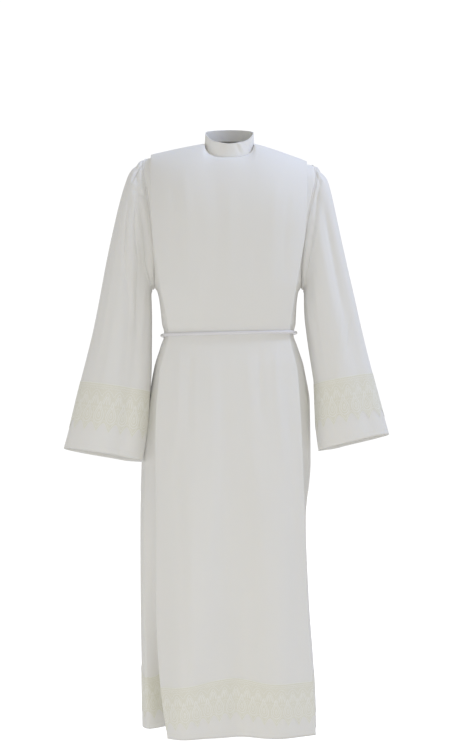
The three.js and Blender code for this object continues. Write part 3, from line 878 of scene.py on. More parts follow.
def hem_band(heights):
    """Rows round the body at heights above the lower edge of the hem lace."""
    rows = []
    for face in FACES.values():
        for column in panel_columns(face)[:-1]:
            x, y, _ = skirt_column(face, column, [HEM_Z])[0]
            rise = track(*zip(*LACE_RISE), math.degrees(math.atan2(y, x)))
            rows.append(skirt_column(face, column, HEM_Z + rise + heights))
    return np.stack(rows, axis=1)


def sleeve_rings(side, degrees):
    """The rings of a sleeve from the cuff up to the armhole, and how far along the sleeve each lies."""
    at = {name: values[:, None] for name, values in SLEEVES[side].items()}
    turn = np.radians(degrees)[None, :]
    waves = np.cos(turn), np.sin(turn)
    across, forward = (np.sign(wave) * np.abs(wave) ** (2 / SLEEVE_POWER) for wave in waves)
    along = np.linspace(0, 1, len(at["tilt"]))[:, None]
    swell = 0
    for angle, width, cuff, shoulder in SLEEVE_FOLDS[side]:
        swell = swell + lerp(cuff, shoulder, along) * bell(degrees[None, :] - angle, width)
    x = lerp(at["inner_x"], at["outer_x"], (1 + across) / 2) + swell * np.cos(turn)
    y = lerp(at["back_y"], at["front_y"], (1 + forward) / 2) - swell * np.sin(turn)
    z = lerp(at["inner_z"], at["outer_z"], (1 + across) / 2) + at["tilt"] * forward / 2
    share = (1 + np.cos(turn[0])) / 2
    front, back = (armhole_point(side, face, share) for face in FACES.values())
    armhole = np.where((degrees <= 180)[:, None], front, back)
    grid = np.concatenate([joined(SIDES[side] * x, y, z), armhole[None]])
    places = running(np.linalg.norm(np.diff(grid.mean(axis=1), axis=0), axis=1))
    return grid, places / places[-1]


def sleeve_grid(side, shares):
    """Points of a sleeve at shares of its length from the cuff."""
    degrees = SLEEVE_DEGREES
    rings, places = sleeve_rings(side, degrees)
    grid = track(places, rings, shares)
    if side == "left":
        grid, degrees = grid[:, ::-1], degrees[::-1]
    depth = np.zeros(grid.shape[:2])
    for low_angle, low, top_angle, top, width, out in SLEEVE_CREASES[side]:
        along = (shares[:, None] - low) / (top - low)
        centre = lerp(low_angle, top_angle, along)
        depth += out * taper(along, *SLEEVE_CREASE_FADE) * bell(degrees[None, :] - centre, width)
    before_seam = 1 - shares[:, None]
    depth *= smooth(before_seam / SLEEVE_SEAM_FADE)
    for share, width, out in SLEEVE_HEAD:
        depth += out * bell(before_seam - share, width)
    return grid + grid_normals(grid, True) * depth[..., None]


def cuff_band(side, heights):
    """Rows round a sleeve at heights above the lower edge of its lace."""
    _, places = sleeve_rings(side, SLEEVE_DEGREES)
    low, high = (places[n] for n in SLEEVE_LACE_RINGS)
    return sleeve_grid(side, lerp(low, high, heights / LACE_HEIGHT))


def collar_grid():
    """The collar from the wearer's left shoulder round the back and the front to the shoulder again."""

    def neck(face):
        points = []
        for turn in np.linspace(-1, 1, COLLAR_COLUMNS):
            side = "right" if turn < 0 else "left"
            share = NECK_HALF_WIDTH / SHOULDERS[side]["edge_x"] * math.sin(abs(turn) * math.pi / 2)
            points.append(top_point(face, side, share))
        return np.array(points)

    seam = np.concatenate([neck(FACES["back"])[::-1], neck(FACES["front"])[1:]])
    forward = (NECK_SIDE_Y - seam[:, 1]) / (NECK_FRONT + NECK_SIDE_Y)
    turned = np.degrees(np.arccos(np.clip(forward, 0, 1)))
    height = track(*zip(*COLLAR_HEIGHT), turned)
    front = smooth((COLLAR_FRONT_END - turned) / COLLAR_FRONT_FADE)
    facing = seam * (1, 1, 0) / np.linalg.norm(seam[:, :2], axis=1, keepdims=True)
    rows = []
    for share in np.linspace(0, 1, COLLAR_ROWS):
        lean = lerp(1, COLLAR_LEAN, share)
        dents = 0
        for x, slant, width, out in COLLAR_CREASES:
            dents = dents + out * bell(seam[:, 0] - x + slant * share, width)
        dents = dents * front * taper(share, *COLLAR_CREASE_FADE)
        rows.append(seam * (lean, lean, 1) + joined(0, 0, share * height) + facing * dents[:, None])
    return np.stack(rows)


def waist_path(reach, tilt):
    """A line drawn taut round the waist, this far out from the cloth's middle, tilted by degrees."""
    waist = np.concatenate(
        [skirt_column(face, column, [WAIST_Z]) for face in FACES.values() for column in panel_columns(face)]
    )
    angles = np.arange(WAIST_POINTS) / WAIST_POINTS * 2 * math.pi
    facing = joined(np.cos(angles), np.sin(angles), 0)
    distance = (waist @ facing.T).max(axis=0) + reach
    after, further = np.roll(facing, -1, axis=0), np.roll(distance, -1)
    cross = facing[:, 0] * after[:, 1] - facing[:, 1] * after[:, 0]
    x = (distance * after[:, 1] - further * facing[:, 1]) / cross
    y = (further * facing[:, 0] - distance * after[:, 0]) / cross
    path = joined(x, y, WAIST_Z + x * math.tan(math.radians(tilt)))
    # Three rounds of averaging take the corners off
    for _ in range(3):
        path = (np.roll(path, 1, axis=0) + 2 * path + np.roll(path, -1, axis=0)) / 4
    return path


def grid_normals(grid, ring):
    """Outward directions of a grid whose rows run round and whose columns run up."""
    if ring:
        across = np.roll(grid, -1, axis=1) - np.roll(grid, 1, axis=1)
    else:
        across = np.gradient(grid, axis=1)
    normals = np.cross(across, np.gradient(grid, axis=0))
    return normals / (np.linalg.norm(normals, axis=2, keepdims=True) + TINY)


# ---------------------------------------------------------------------------------------------
# Meshes


def link(piece):
    """Put an object in the scene."""
    bpy.context.scene.collection.objects.link(piece)
    return piece


def make_object(name, points, faces=(), edges=(), material=None):
    """A new mesh object from points in millimetres."""
    mesh = bpy.data.meshes.new(name)
    mesh.from_pydata((np.asarray(points).reshape(-1, 3) * MM).tolist(), edges, faces)
    if material:
        mesh.materials.append(material)
    return link(bpy.data.objects.new(name, mesh))


def grid_quads(rows, columns, ring, start=0, flip=False):
    """Quads of a grid of points, as an array of corner numbers."""
    r, c = np.meshgrid(np.arange(rows - 1), np.arange(columns if ring else columns - 1), indexing="ij")
    low, high = r.ravel() * columns, (r.ravel() + 1) * columns
    near, far = c.ravel(), (c.ravel() + 1) % columns
    quads = np.stack([low + near, low + far, high + far, high + near], axis=1)
    return start + (quads[:, ::-1] if flip else quads)


def rim_quads(line, size, flip):
    """Quads that close the edge between two like grids, the second numbered on by a size."""
    ends = np.stack([line[:-1], line[1:], line[1:] + size, line[:-1] + size], axis=1)
    return ends[:, ::-1] if flip else ends


def corner_places(quads, columns):
    """Rows and columns of the corners of quads; a corner past a ring's start counts as one turn on."""
    row, column = quads // columns, quads % columns
    wraps = (column.max(axis=1) - column.min(axis=1)) > columns // 2
    return row, np.where(wraps[:, None] & (column == 0), columns, column)


def set_uv(piece, name, uv):
    piece.data.uv_layers.new(name=name).data.foreach_set("uv", uv.ravel())


def cloth_shell(name, grid, thickness, ring):
    """A closed wall of cloth on a grid, with its weave's coordinates in metres."""
    rows, columns = grid.shape[:2]
    size = rows * columns
    half = grid_normals(grid, ring) * thickness / MM / 2
    points = np.concatenate([(grid + half).reshape(-1, 3), (grid - half).reshape(-1, 3)])
    number = np.arange(size).reshape(rows, columns)
    bottom, top = number[0], number[-1]
    if ring:
        bottom, top = np.append(bottom, bottom[0]), np.append(top, top[0])
    rims = [rim_quads(bottom, size, True), rim_quads(top, size, False)]
    if not ring:
        rims += [rim_quads(number[:, 0], size, False), rim_quads(number[:, -1], size, True)]
    walls = [grid_quads(rows, columns, ring), grid_quads(rows, columns, ring, size, True)]
    quads = np.concatenate(walls + rims)
    piece = make_object(name, points, quads.tolist(), material=finish("cloth"))

    closed = np.concatenate([grid, grid[:, :1]], axis=1) if ring else grid
    across = np.linalg.norm(np.diff(closed, axis=1), axis=2)
    u = np.concatenate([np.zeros((rows, 1)), np.cumsum(across, axis=1)], axis=1) * MM
    u -= u[:, u.shape[1] // 2][:, None]
    v = running(np.linalg.norm(np.diff(closed, axis=0), axis=2).mean(axis=1)) * MM
    row, column = corner_places(quads % size, columns)
    set_uv(piece, "Weave", np.stack([u[row, column], v[row]], axis=2))
    piece.data.polygons.foreach_set("use_smooth", np.arange(len(quads)) < sum(map(len, walls)))
    piece.data.update()
    return piece


def cord_ring(name, path, radius):
    """A closed round cord on a level path, with its cover's coordinates in metres."""
    along = np.roll(path, -1, axis=0) - np.roll(path, 1, axis=0)
    along /= np.linalg.norm(along, axis=1, keepdims=True)
    outward = joined(along[:, 1], -along[:, 0], 0)
    turns = np.arange(CORD_SIDES) / CORD_SIDES * 2 * math.pi
    grid = np.stack([path + (outward * math.cos(turn) + (0, 0, math.sin(turn))) * radius for turn in turns])
    size, columns = grid.shape[:2]
    quads = grid_quads(size + 1, columns, True)
    cord = make_object(name, grid, (quads % (size * columns)).tolist(), material=finish("cord"))
    cord.data.polygons.foreach_set("use_smooth", np.ones(len(quads), bool))
    u = running(np.linalg.norm(np.diff(path, axis=0, append=path[:1]), axis=1)) * MM
    row, column = corner_places(quads, columns)
    set_uv(cord, "Weave", np.stack([u[column], row / size * 2 * math.pi * radius * MM], axis=2))
    return cord


def add_node(tree, kind, inputs=None, **settings):
    """Add a node, set its properties, and give its inputs values or other nodes' outputs."""
    node = tree.nodes.new(kind)
    for name, value in settings.items():
        setattr(node, name, value)
    for key, value in (inputs or {}).items():
        socket = node.inputs[key]
        if isinstance(value, bpy.types.NodeSocket):
            tree.links.new(value, socket)
        else:
            socket.default_value = value
    return node


def calc(tree, operation, *values):
    """The result of a sum on numbers or other nodes' outputs."""
    return add_node(tree, "ShaderNodeMath", dict(enumerate(values)), operation=operation).outputs[0]


def geometry_tree(name, inputs):
    """A geometry node tree with named inputs after its geometry, and its input node's outputs."""
    tree = bpy.data.node_groups.new(name, "GeometryNodeTree")
    tree.interface.new_socket("Geometry", in_out="INPUT", socket_type="NodeSocketGeometry")
    for label, kind in inputs.items():
        tree.interface.new_socket(label, in_out="INPUT", socket_type=f"NodeSocket{kind}")
    tree.interface.new_socket("Geometry", in_out="OUTPUT", socket_type="NodeSocketGeometry")
    return tree, add_node(tree, "NodeGroupInput").outputs


def finish_tree(tree, geometry, material):
    """End a tree with its geometry made real and given its material."""
    solid = add_node(tree, "GeometryNodeRealizeInstances", {"Geometry": geometry}).outputs[0]
    done = add_node(tree, "GeometryNodeSetMaterial", {"Geometry": solid, "Material": material}).outputs[0]
    add_node(tree, "NodeGroupOutput", {"Geometry": done})


def bake(base, tree, values):
    """Run a geometry node tree on an object and keep the result as a plain mesh in its place."""
    name = base.name
    modifier = base.modifiers.new("Nodes", "NODES")
    modifier.node_group = tree
    sockets = {item.name: item.identifier for item in tree.interface.items_tree if item.in_out == "INPUT"}
    for label, value in values.items():
        modifier[sockets[label]] = value
    depsgraph = bpy.context.evaluated_depsgraph_get()
    mesh = bpy.data.meshes.new_from_object(base.evaluated_get(depsgraph), depsgraph=depsgraph)
    bpy.data.objects.remove(base)
    if not mesh.polygons:
        raise RuntimeError(f"{name} came out empty")
    mesh.name = name
    return link(bpy.data.objects.new(name, mesh))


def place(piece, slot, *nodes):
    """Hang a piece on the body, and let it stand for the solids it replaces. Its slot is not used."""
    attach(piece, "root")
    if nodes:
        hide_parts(*nodes)
    return piece


# ---------------------------------------------------------------------------------------------
# Finishes


def linear(code):
    """A linear colour from an sRGB hex value."""
    parts = [int(code[i : i + 2], 16) / 255 for i in (0, 2, 4)]
    return (*(p / 12.92 if p <= 0.04045 else ((p + 0.055) / 1.055) ** 2.4 for p in parts), 1)


def object_spot(tree):
    return add_node(tree, "ShaderNodeTexCoord").outputs["Object"]


def weave_spot(tree):
    return add_node(tree, "ShaderNodeUVMap", uv_map="Weave").outputs[0]


def noise(tree, scale, detail=2.0, roughness=0.5):
    """A noise on the object's own coordinates."""
    inputs = {"Vector": object_spot(tree), "Scale": scale, "Detail": detail, "Roughness": roughness}
    return add_node(tree, "ShaderNodeTexNoise", inputs).outputs[0]


def shaded(tree, share, base, factor, low_first=True):
    """The base colour, multiplied by a factor where a share is low, or where it is high."""
    ends = [(*(np.array(base[:3]) * factor).tolist(), 1), base]
    low, high = ends if low_first else reversed(ends)
    return add_node(tree, "ShaderNodeMix", {0: share, 6: low, 7: high}, data_type="RGBA").outputs[2]


def relief(tree, height, strength, depth, under=None, invert=False):
    """The normal of a surface with a relief of a depth in millimetres, laid over another one if given."""
    inputs = {"Strength": strength, "Distance": depth * MM, "Height": height}
    if under:
        inputs["Normal"] = under
    return add_node(tree, "ShaderNodeBump", inputs, invert=invert).outputs[0]


def plain_weave(tree, base):
    """Polyester and viscose plain weave: smooth, matt, faintly glowing where light comes through."""
    # Slight unevenness of the dye and of the pressing, over about 120 mm
    shade = shaded(tree, noise(tree, 8.0), base, 0.972)
    # Threads about 0.35 mm apart in the real cloth, drawn 0.9 mm apart so that they show close by
    axes = add_node(tree, "ShaderNodeSeparateXYZ", {0: weave_spot(tree)}).outputs
    waves = [calc(tree, "MULTIPLY", axis, math.pi / (0.9 * MM)) for axis in axes[:2]]
    threads = calc(tree, "MULTIPLY", *(calc(tree, "SINE", wave) for wave in waves))
    fine = relief(tree, calc(tree, "ADD", threads, noise(tree, 420.0, 1.0)), 0.16, 0.10)
    # Soft handling marks some 25 mm across
    soft = relief(tree, noise(tree, 32.0, 1.5, 0.4), 0.30, 0.9, under=fine)
    return {"Base Color": shade, "Normal": soft}


def net_ground(tree, base):
    """Machine-made cotton and viscose net: cream, matt, with fine open cells whose middles carry painted
    shade.
    """
    # Net cells about 1 mm wide, drawn 1.8 mm wide so that they show
    inputs = {"Vector": object_spot(tree), "Scale": 1 / (1.8 * MM)}
    cells = add_node(tree, "ShaderNodeTexVoronoi", inputs, feature="DISTANCE_TO_EDGE").outputs[0]
    shaded_open_part = add_node(tree, "ShaderNodeMapRange", {0: cells, 1: 0.02, 2: 0.22}, clamp=True).outputs[0]
    # Painted shade: the middle of each open cell is darker and warmer, standing for the shade on the cloth
    # seen through the net
    shade = shaded(tree, shaded_open_part, base, (0.93, 0.927, 0.90), low_first=False)
    return {"Base Color": shade, "Normal": relief(tree, cells, 0.5, 0.3, invert=True)}


def gimp_outline(tree, base):
    """Twisted viscose gimp of corded lace: whitish, with a soft shine on its upper side."""
    # The gimp's twist, about 1 mm long
    twist = noise(tree, 900.0, 1.0)
    return {"Base Color": shaded(tree, twist, base, 0.93), "Normal": relief(tree, twist, 0.4, 0.15)}


def satin(tree, base):
    """Polyester satin over a cord: white, with a smooth shine along its length."""
    # Floats of the satin, about 0.3 mm apart, running slightly askew round the cord
    askew = {"Vector": weave_spot(tree), "Rotation": (0, 0, 0.5)}
    turned = add_node(tree, "ShaderNodeMapping", askew).outputs[0]
    inputs = {"Vector": turned, "Scale": 300.0, "Distortion": 0.6, "Detail": 1.0}
    floats = add_node(tree, "ShaderNodeTexWave", inputs).outputs[0]
    return {"Base Color": shaded(tree, floats, base, 0.95), "Normal": relief(tree, floats, 0.2, 0.1)}


def spun_thread(tree, base):
    """Spun polyester sewing thread: off-white, slightly shiny, two plies twisted together."""
    return {"Base Color": shaded(tree, noise(tree, 1500.0), base, 0.9)}


def studio_paper(tree, base):
    """Matt white paper that glows a little, so that it stays as pale as the room."""
    return {"Base Color": shaded(tree, noise(tree, 30.0), base, 0.99)}


# Each finish by its colour's name: its material, the nodes that draw it, and its shader's settings
FINISHES = {
    "cloth": (
        "off_white_polyester_viscose_plain_weave",
        plain_weave,
        {
            "Roughness": 0.78,
            "IOR": 1.46,
            "Sheen Weight": 0.12,
            "Sheen Roughness": 0.5,
            "Subsurface Weight": 0.12,
            "Subsurface Radius": (1.0, 0.86, 0.62),
            "Subsurface Scale": 3 * MM,
        },
    ),
    "lace_ground": (
        "cream_corded_lace_net_ground",
        net_ground,
        {"Roughness": 0.72, "IOR": 1.5, "Sheen Weight": 0.1},
    ),
    "lace_outline": ("white_viscose_gimp_outline", gimp_outline, {"Roughness": 0.5, "IOR": 1.5}),
    "cord": ("white_polyester_satin_cord", satin, {"Roughness": 0.38, "IOR": 1.5, "Sheen Weight": 0.1}),
    "thread": ("off_white_polyester_sewing_thread", spun_thread, {"Roughness": 0.55}),
    "floor": (
        "matt_white_studio_paper",
        studio_paper,
        {"Roughness": 0.9, "Emission Color": (1, 1, 1, 1), "Emission Strength": 0.85},
    ),
}


def finish(colour):
    """The material of a finish, made when it is first asked for."""
    name, draw, settings = FINISHES[colour]
    if name in bpy.data.materials:
        return bpy.data.materials[name]
    material = bpy.data.materials.new(name)
    material.use_nodes = True
    tree = material.node_tree
    tree.nodes.clear()
    drawn = draw(tree, linear(getattr(bpy.context.scene.alb_finishes, colour)))
    shader = add_node(tree, "ShaderNodeBsdfPrincipled", {**drawn, **settings})
    add_node(tree, "ShaderNodeOutputMaterial", {"Surface": shader.outputs[0]})
    return material


# ---------------------------------------------------------------------------------------------
# Stitches, seams and lace


def guide(name, points, closed):
    """An object of edges only, along points in millimetres."""
    count = len(points)
    edges = [(i, (i + 1) % count) for i in range(count if closed else count - 1)]
    return make_object(name, points, edges=edges)


def stitches(name, line, closed, facing):
    """A row of stitches along points in millimetres, lifted onto the cloth's face."""
    tree, given = geometry_tree(
        "Stitches", {"Length": "Float", "Gap": "Float", "Radius": "Float", "Thread": "Material"}
    )
    curve = add_node(tree, "GeometryNodeMeshToCurve", {"Mesh": given["Geometry"]}).outputs[0]
    step = {"Curve": curve, "Length": calc(tree, "ADD", given["Length"], given["Gap"])}
    points = add_node(tree, "GeometryNodeCurveToPoints", step, mode="LENGTH").outputs
    shape = {"Vertices": STITCH_SIDES, "Radius": given["Radius"], "Depth": given["Length"]}
    stitch = add_node(tree, "GeometryNodeMeshCylinder", shape).outputs["Mesh"]
    turned = add_node(
        tree, "FunctionNodeAlignRotationToVector", {"Vector": points["Tangent"]}, axis="Z"
    ).outputs[0]
    copies = {"Points": points["Points"], "Instance": stitch, "Rotation": turned}
    finish_tree(tree, add_node(tree, "GeometryNodeInstanceOnPoints", copies).outputs[0], given["Thread"])
    sizes = bpy.context.scene.alb_cloth
    lifted = line + facing * sizes.thickness / MM / 2
    values = {"Length": sizes.stitch_length, "Gap": STITCH_GAP * MM, "Radius": THREAD_RADIUS * MM}
    return bake(guide(name, lifted, closed), tree, values | {"Thread": finish("thread")})


def ridge(name, line, closed, radius):
    """A seam's raised ridge along points in millimetres."""
    tree, given = geometry_tree("Seam ridge", {"Radius": "Float", "Cloth": "Material"})
    curve = add_node(tree, "GeometryNodeMeshToCurve", {"Mesh": given["Geometry"]}).outputs[0]
    circle = {"Resolution": RIDGE_SIDES, "Radius": given["Radius"]}
    profile = add_node(tree, "GeometryNodeCurvePrimitiveCircle", circle).outputs[0]
    swept = {"Curve": curve, "Profile Curve": profile, "Fill Caps": True}
    tube = add_node(tree, "GeometryNodeCurveToMesh", swept).outputs[0]
    soft = add_node(tree, "GeometryNodeSetShadeSmooth", {"Geometry": tube}).outputs[0]
    finish_tree(tree, soft, given["Cloth"])
    return bake(guide(name, line, closed), tree, {"Radius": radius, "Cloth": finish("cloth")})


def lace_tree():
    """Repeats a flat chart of lace and lays it on a band, by the band's own coordinates."""
    kinds = {
        "Object": ("Ground", "Chart"),
        "Int": ("Repeats",),
        "Float": ("Pitch", "Height", "Margin", "Lift", "Outline Width", "Outline Height"),
        "Material": ("Net", "Gimp"),
    }
    inputs = {label: kind for kind, labels in kinds.items() for label in labels}
    tree, given = geometry_tree("Lace band", inputs)
    ground, chart = (
        add_node(tree, "GeometryNodeObjectInfo", {"Object": given[label]}).outputs["Geometry"]
        for label in kinds["Object"]
    )
    level = add_node(tree, "GeometryNodeSetCurveNormal", {"Curve": chart}, mode="Z_UP").outputs[0]
    half = calc(tree, "MULTIPLY", given["Outline Height"], 0.5)
    kite = {"Width": given["Outline Width"], "Bottom Height": half, "Top Height": half}
    profile = add_node(tree, "GeometryNodeCurvePrimitiveQuadrilateral", kite, mode="KITE").outputs[0]
    weight = add_node(tree, "GeometryNodeInputRadius").outputs[0]
    swept = {"Curve": level, "Profile Curve": profile, "Scale": weight, "Fill Caps": True}
    cords = add_node(tree, "GeometryNodeCurveToMesh", swept).outputs[0]
    motif = add_node(tree, "GeometryNodeJoinGeometry")
    for part, label in ((ground, "Net"), (cords, "Gimp")):
        looks = {"Geometry": part, "Material": given[label]}
        tree.links.new(add_node(tree, "GeometryNodeSetMaterial", looks).outputs[0], motif.inputs[0])
    offset = add_node(tree, "ShaderNodeCombineXYZ", {0: given["Pitch"]}).outputs[0]
    line = {"Count": given["Repeats"], "Offset": offset}
    starts = add_node(tree, "GeometryNodeMeshLine", line).outputs[0]
    copies = {"Points": starts, "Instance": motif.outputs[0]}
    rows = add_node(tree, "GeometryNodeInstanceOnPoints", copies).outputs[0]
    flat = add_node(tree, "GeometryNodeRealizeInstances", {"Geometry": rows}).outputs[0]

    # Where each point lies on the band, as shares of its length and height
    position = add_node(tree, "GeometryNodeInputPosition").outputs[0]
    x, y, z = add_node(tree, "ShaderNodeSeparateXYZ", {0: position}).outputs
    around = calc(tree, "DIVIDE", x, calc(tree, "MULTIPLY", given["Repeats"], given["Pitch"]))
    full = calc(tree, "ADD", given["Height"], calc(tree, "MULTIPLY", given["Margin"], 2.0))
    up = calc(tree, "DIVIDE", calc(tree, "ADD", y, given["Margin"]), full)
    turned = calc(tree, "FLOORED_MODULO", around, 1.0)
    spot = add_node(tree, "ShaderNodeCombineXYZ", {0: turned, 1: up}).outputs[0]

    # The band's place and outward direction there
    vector = {"data_type": "FLOAT_VECTOR"}
    band, outward = (
        add_node(tree, "GeometryNodeInputNamedAttribute", {"Name": name}, **vector).outputs[0]
        for name in ("Band", "outward")
    )
    sampled = []
    for value in (position, outward):
        surface = {"Mesh": given["Geometry"], "Source UV Map": band, "Sample UV": spot}
        sample = add_node(tree, "GeometryNodeSampleUVSurface", surface, **vector)
        tree.links.new(value, next(s for s in sample.inputs if s.name == "Value" and s.enabled))
        sampled.append(next(s for s in sample.outputs if s.name == "Value" and s.enabled))
    rise = {0: sampled[1], "Scale": calc(tree, "ADD", z, given["Lift"])}
    risen = add_node(tree, "ShaderNodeVectorMath", rise, operation="SCALE").outputs[0]
    laid = add_node(tree, "ShaderNodeVectorMath", {0: sampled[0], 1: risen}, operation="ADD").outputs[0]
    placed = add_node(tree, "GeometryNodeSetPosition", {"Geometry": flat, "Position": laid}).outputs[0]
    merged = {"Geometry": placed, "Distance": MERGE_DISTANCE * MM}
    sewn = add_node(tree, "GeometryNodeMergeByDistance", merged).outputs[0]
    add_node(tree, "NodeGroupOutput", {"Geometry": sewn})
    return tree


def mirrored(half):
    """The mirror image of a line of the chart's left half."""
    return [(1 - x, y) for x, y in half]


def joined_halves(half):
    """A line of the left half that ends in the middle, and its mirror image beyond."""
    return half + mirrored(half)[-2::-1]


def smooth_line(points):
    """A line through points that bends softly at each."""
    points = np.asarray(points, float)
    padded = np.concatenate([2 * points[:1] - points[1:2], points, 2 * points[-1:] - points[-2:-1]])
    if np.allclose(points[0], points[-1]):
        padded[0], padded[-1] = points[-2], points[1]
    line = []
    for a, b, c, d in zip(padded[:-3], padded[1:-2], padded[2:-1], padded[3:]):
        for t in np.arange(OUTLINE_STEPS) / OUTLINE_STEPS:
            cubic = (3 * b - 3 * c + d - a) * t**3
            line.append(0.5 * (2 * b + (c - a) * t + (2 * a - 5 * b + 4 * c - d) * t**2 + cubic))
    return np.array(line + [points[-1]])


def lace_chart(pitch, rise):
    """The raised outlines of one repeat, as a flat curve object that lies this high."""
    curve = bpy.data.curves.new("lace_chart", "CURVE")
    curve.dimensions = "3D"
    for kind, soft, weight, half in LACE_CHART:
        halves = {"joined": [joined_halves(half)], "paired": [half, mirrored(half)], "alone": [half]}
        for points in halves[kind]:
            points = np.array(points) * (pitch, MM)
            line = smooth_line(points) if soft else points
            spline = curve.splines.new("POLY")
            spline.points.add(len(line) - 1)
            spots = np.column_stack([line, np.full(len(line), rise), np.ones(len(line))])
            spline.points.foreach_set("co", spots.ravel())
            spline.points.foreach_set("radius", np.full(len(line), weight))
    return link(bpy.data.objects.new("lace_chart", curve))


def lace_net(pitch, thickness):
    """One repeat of the net ground, cut to points along its lower edge."""
    edge = np.array(joined_halves(LACE_EDGE))
    xs = np.unique(np.round(np.concatenate([edge[:, 0], np.linspace(0, 1, NET_COLUMNS)]), 4))
    low = np.interp(xs, edge[:, 0], edge[:, 1])
    heights = np.linspace(0, 1, NET_ROWS)[:, None]
    grid = joined(xs[None, :] * pitch / MM, lerp(low[None, :], LACE_HEIGHT, heights), 0)
    rows, columns = grid.shape[:2]
    size = rows * columns
    points = np.concatenate([grid.reshape(-1, 3), grid.reshape(-1, 3)])
    points[:size, 2] = thickness / MM
    number = np.arange(size).reshape(rows, columns)
    walls = [grid_quads(rows, columns, False), grid_quads(rows, columns, False, size, True)]
    rims = [rim_quads(number[0], size, True), rim_quads(number[-1], size, False)]
    return make_object("lace_net", points, np.concatenate(walls + rims).tolist())


def lace_band(name, band, heights):
    """A band of lace on rows of points round the garment, at heights above its lower edge."""
    sizes = bpy.context.scene.alb_lace
    normals = grid_normals(band, True)
    closed, outward = (np.concatenate([grid, grid[:, :1]], axis=1) for grid in (band, normals))
    rows, columns = closed.shape[:2]
    quads = grid_quads(rows, columns, False)
    base = make_object(name, closed, quads.tolist())
    u = running(np.linalg.norm(np.diff(closed, axis=1), axis=2).mean(axis=0))
    v = np.linspace(0, 1, rows)
    set_uv(base, "Band", np.stack([(u / u[-1])[quads % columns], v[quads // columns]], axis=2))
    attribute = base.data.attributes.new("outward", "FLOAT_VECTOR", "POINT")
    attribute.data.foreach_set("vector", outward.ravel())
    around = u[-1] * MM
    repeats = round(around / sizes.pitch)
    pitch = around / repeats
    chart, net = lace_chart(pitch, sizes.ground_thickness), lace_net(pitch, sizes.ground_thickness)
    values = {
        "Ground": net,
        "Chart": chart,
        "Repeats": repeats,
        "Pitch": pitch,
        "Height": LACE_HEIGHT * MM,
        "Margin": -heights[0] * MM,
        "Lift": bpy.context.scene.alb_cloth.thickness / 2 + sizes.lift,
        "Outline Width": sizes.cord_width,
        "Outline Height": sizes.cord_height,
        "Net": finish("lace_ground"),
        "Gimp": finish("lace_outline"),
    }
    piece = bake(base, lace_tree(), values)
    for helper in (chart, net):
        bpy.data.objects.remove(helper)
    piece.data.polygons.foreach_set("use_smooth", np.ones(len(piece.data.polygons), bool))
    piece.data.set_sharp_from_angle(angle=math.radians(LACE_SHARP_ANGLE))
    return piece


# ---------------------------------------------------------------------------------------------
# Operators


class ALB_OT_body(bpy.types.Operator):
    """Make the front and back with their pleats, side seams and stitched hem"""

    bl_idname = "alb.body"
    bl_label = "Front and Back"

    def execute(self, context):
        sizes = context.scene.alb_cloth
        grids = {name: panel_grid(name) for name in FACES}
        for name, grid in grids.items():
            panel = cloth_shell(f"alb_{name}", grid, sizes.thickness, False)
            place(panel, "cloth", *PANEL_NODES[name])
        row = round(HEM_STITCH_HEIGHT / (sizes.row_spacing / MM))
        line = np.concatenate([grid[row, :-1] for grid in grids.values()])
        facing = np.concatenate([grid_normals(grid, False)[row, :-1] for grid in grids.values()])
        hem = place(stitches("hem_stitches", line, True, facing), "cloth")
        front = grids["front"]
        top = front[-1]
        armpit = int(np.argmax(front[:, 0, 2] >= ARMPIT_Z - TINY))
        lines = {
            "side_seam_right": front[: armpit + 1, 0],
            "side_seam_left": front[: armpit + 1, -1],
            "shoulder_seam_right": top[top[:, 0] <= -NECK_HALF_WIDTH],
            "shoulder_seam_left": top[top[:, 0] >= NECK_HALF_WIDTH],
        }
        seams = [place(ridge(name, line, False, sizes.seam_radius), "cloth") for name, line in lines.items()]
        return {"FINISHED"}


class ALB_OT_sleeves(bpy.types.Operator):
    """Make the sleeves with their folds, armhole seams and stitched cuffs"""

    bl_idname = "alb.sleeves"
    bl_label = "Sleeves"

    def execute(self, context):
        sizes = context.scene.alb_cloth
        cuts = {"right": ((0.60, 0.72), 0.272), "left": ((0.60, 0.66), 0.238)}
        for side, (flat, area) in cuts.items():
            grid = sleeve_grid(side, SLEEVE_SHARES)
            normals = grid_normals(grid, True)
            sleeve = cloth_shell(f"alb_sleeve_{side}", grid, sizes.thickness, True)
            place(sleeve, "cloth", f"sleeve_{side}")
            line, facing = grid[CUFF_STITCH_RING], normals[CUFF_STITCH_RING]
            cuff = place(stitches(f"cuff_stitches_{side}", line, True, facing), "cloth")
            seam = grid[-1] + normals[-1] * ARMHOLE_RIDGE_LIFT
            armhole = place(ridge(f"armhole_seam_{side}", seam, True, sizes.ridge_radius), "cloth")
        return {"FINISHED"}


class ALB_OT_collar(bpy.types.Operator):
    """Make the stand collar with its neck seam and top stitching"""

    bl_idname = "alb.collar"
    bl_label = "Collar"

    def execute(self, context):
        sizes = context.scene.alb_cloth
        grid = collar_grid()
        collar = place(cloth_shell("alb_collar", grid, sizes.collar_thickness, False), "cloth", "collar")
        normals = grid_normals(grid, False)
        lift = (sizes.collar_thickness - sizes.thickness) / MM / 2
        top = place(stitches("collar_stitches", grid[-2] + normals[-2] * lift, False, normals[-2]), "cloth")
        seam = grid[0] + normals[0] * NECK_RIDGE_LIFT
        neck = place(ridge("neck_seam", seam, False, sizes.seam_radius), "cloth")
        return {"FINISHED"}


class ALB_OT_lace(bpy.types.Operator):
    """Make the lace bands of the hem and cuffs"""

    bl_idname = "alb.lace"
    bl_label = "Lace Bands"

    def execute(self, context):
        heights = np.linspace(-LACE_MARGIN, LACE_HEIGHT + LACE_MARGIN, BAND_ROWS)
        hem = place(lace_band("alb_hem_lace", hem_band(heights), heights), "lace", "hem_lace")
        for side in SIDES:
            lace = lace_band(f"alb_cuff_lace_{side}", cuff_band(side, heights), heights)
            place(lace, "lace", f"cuff_lace_{side}")
        return {"FINISHED"}


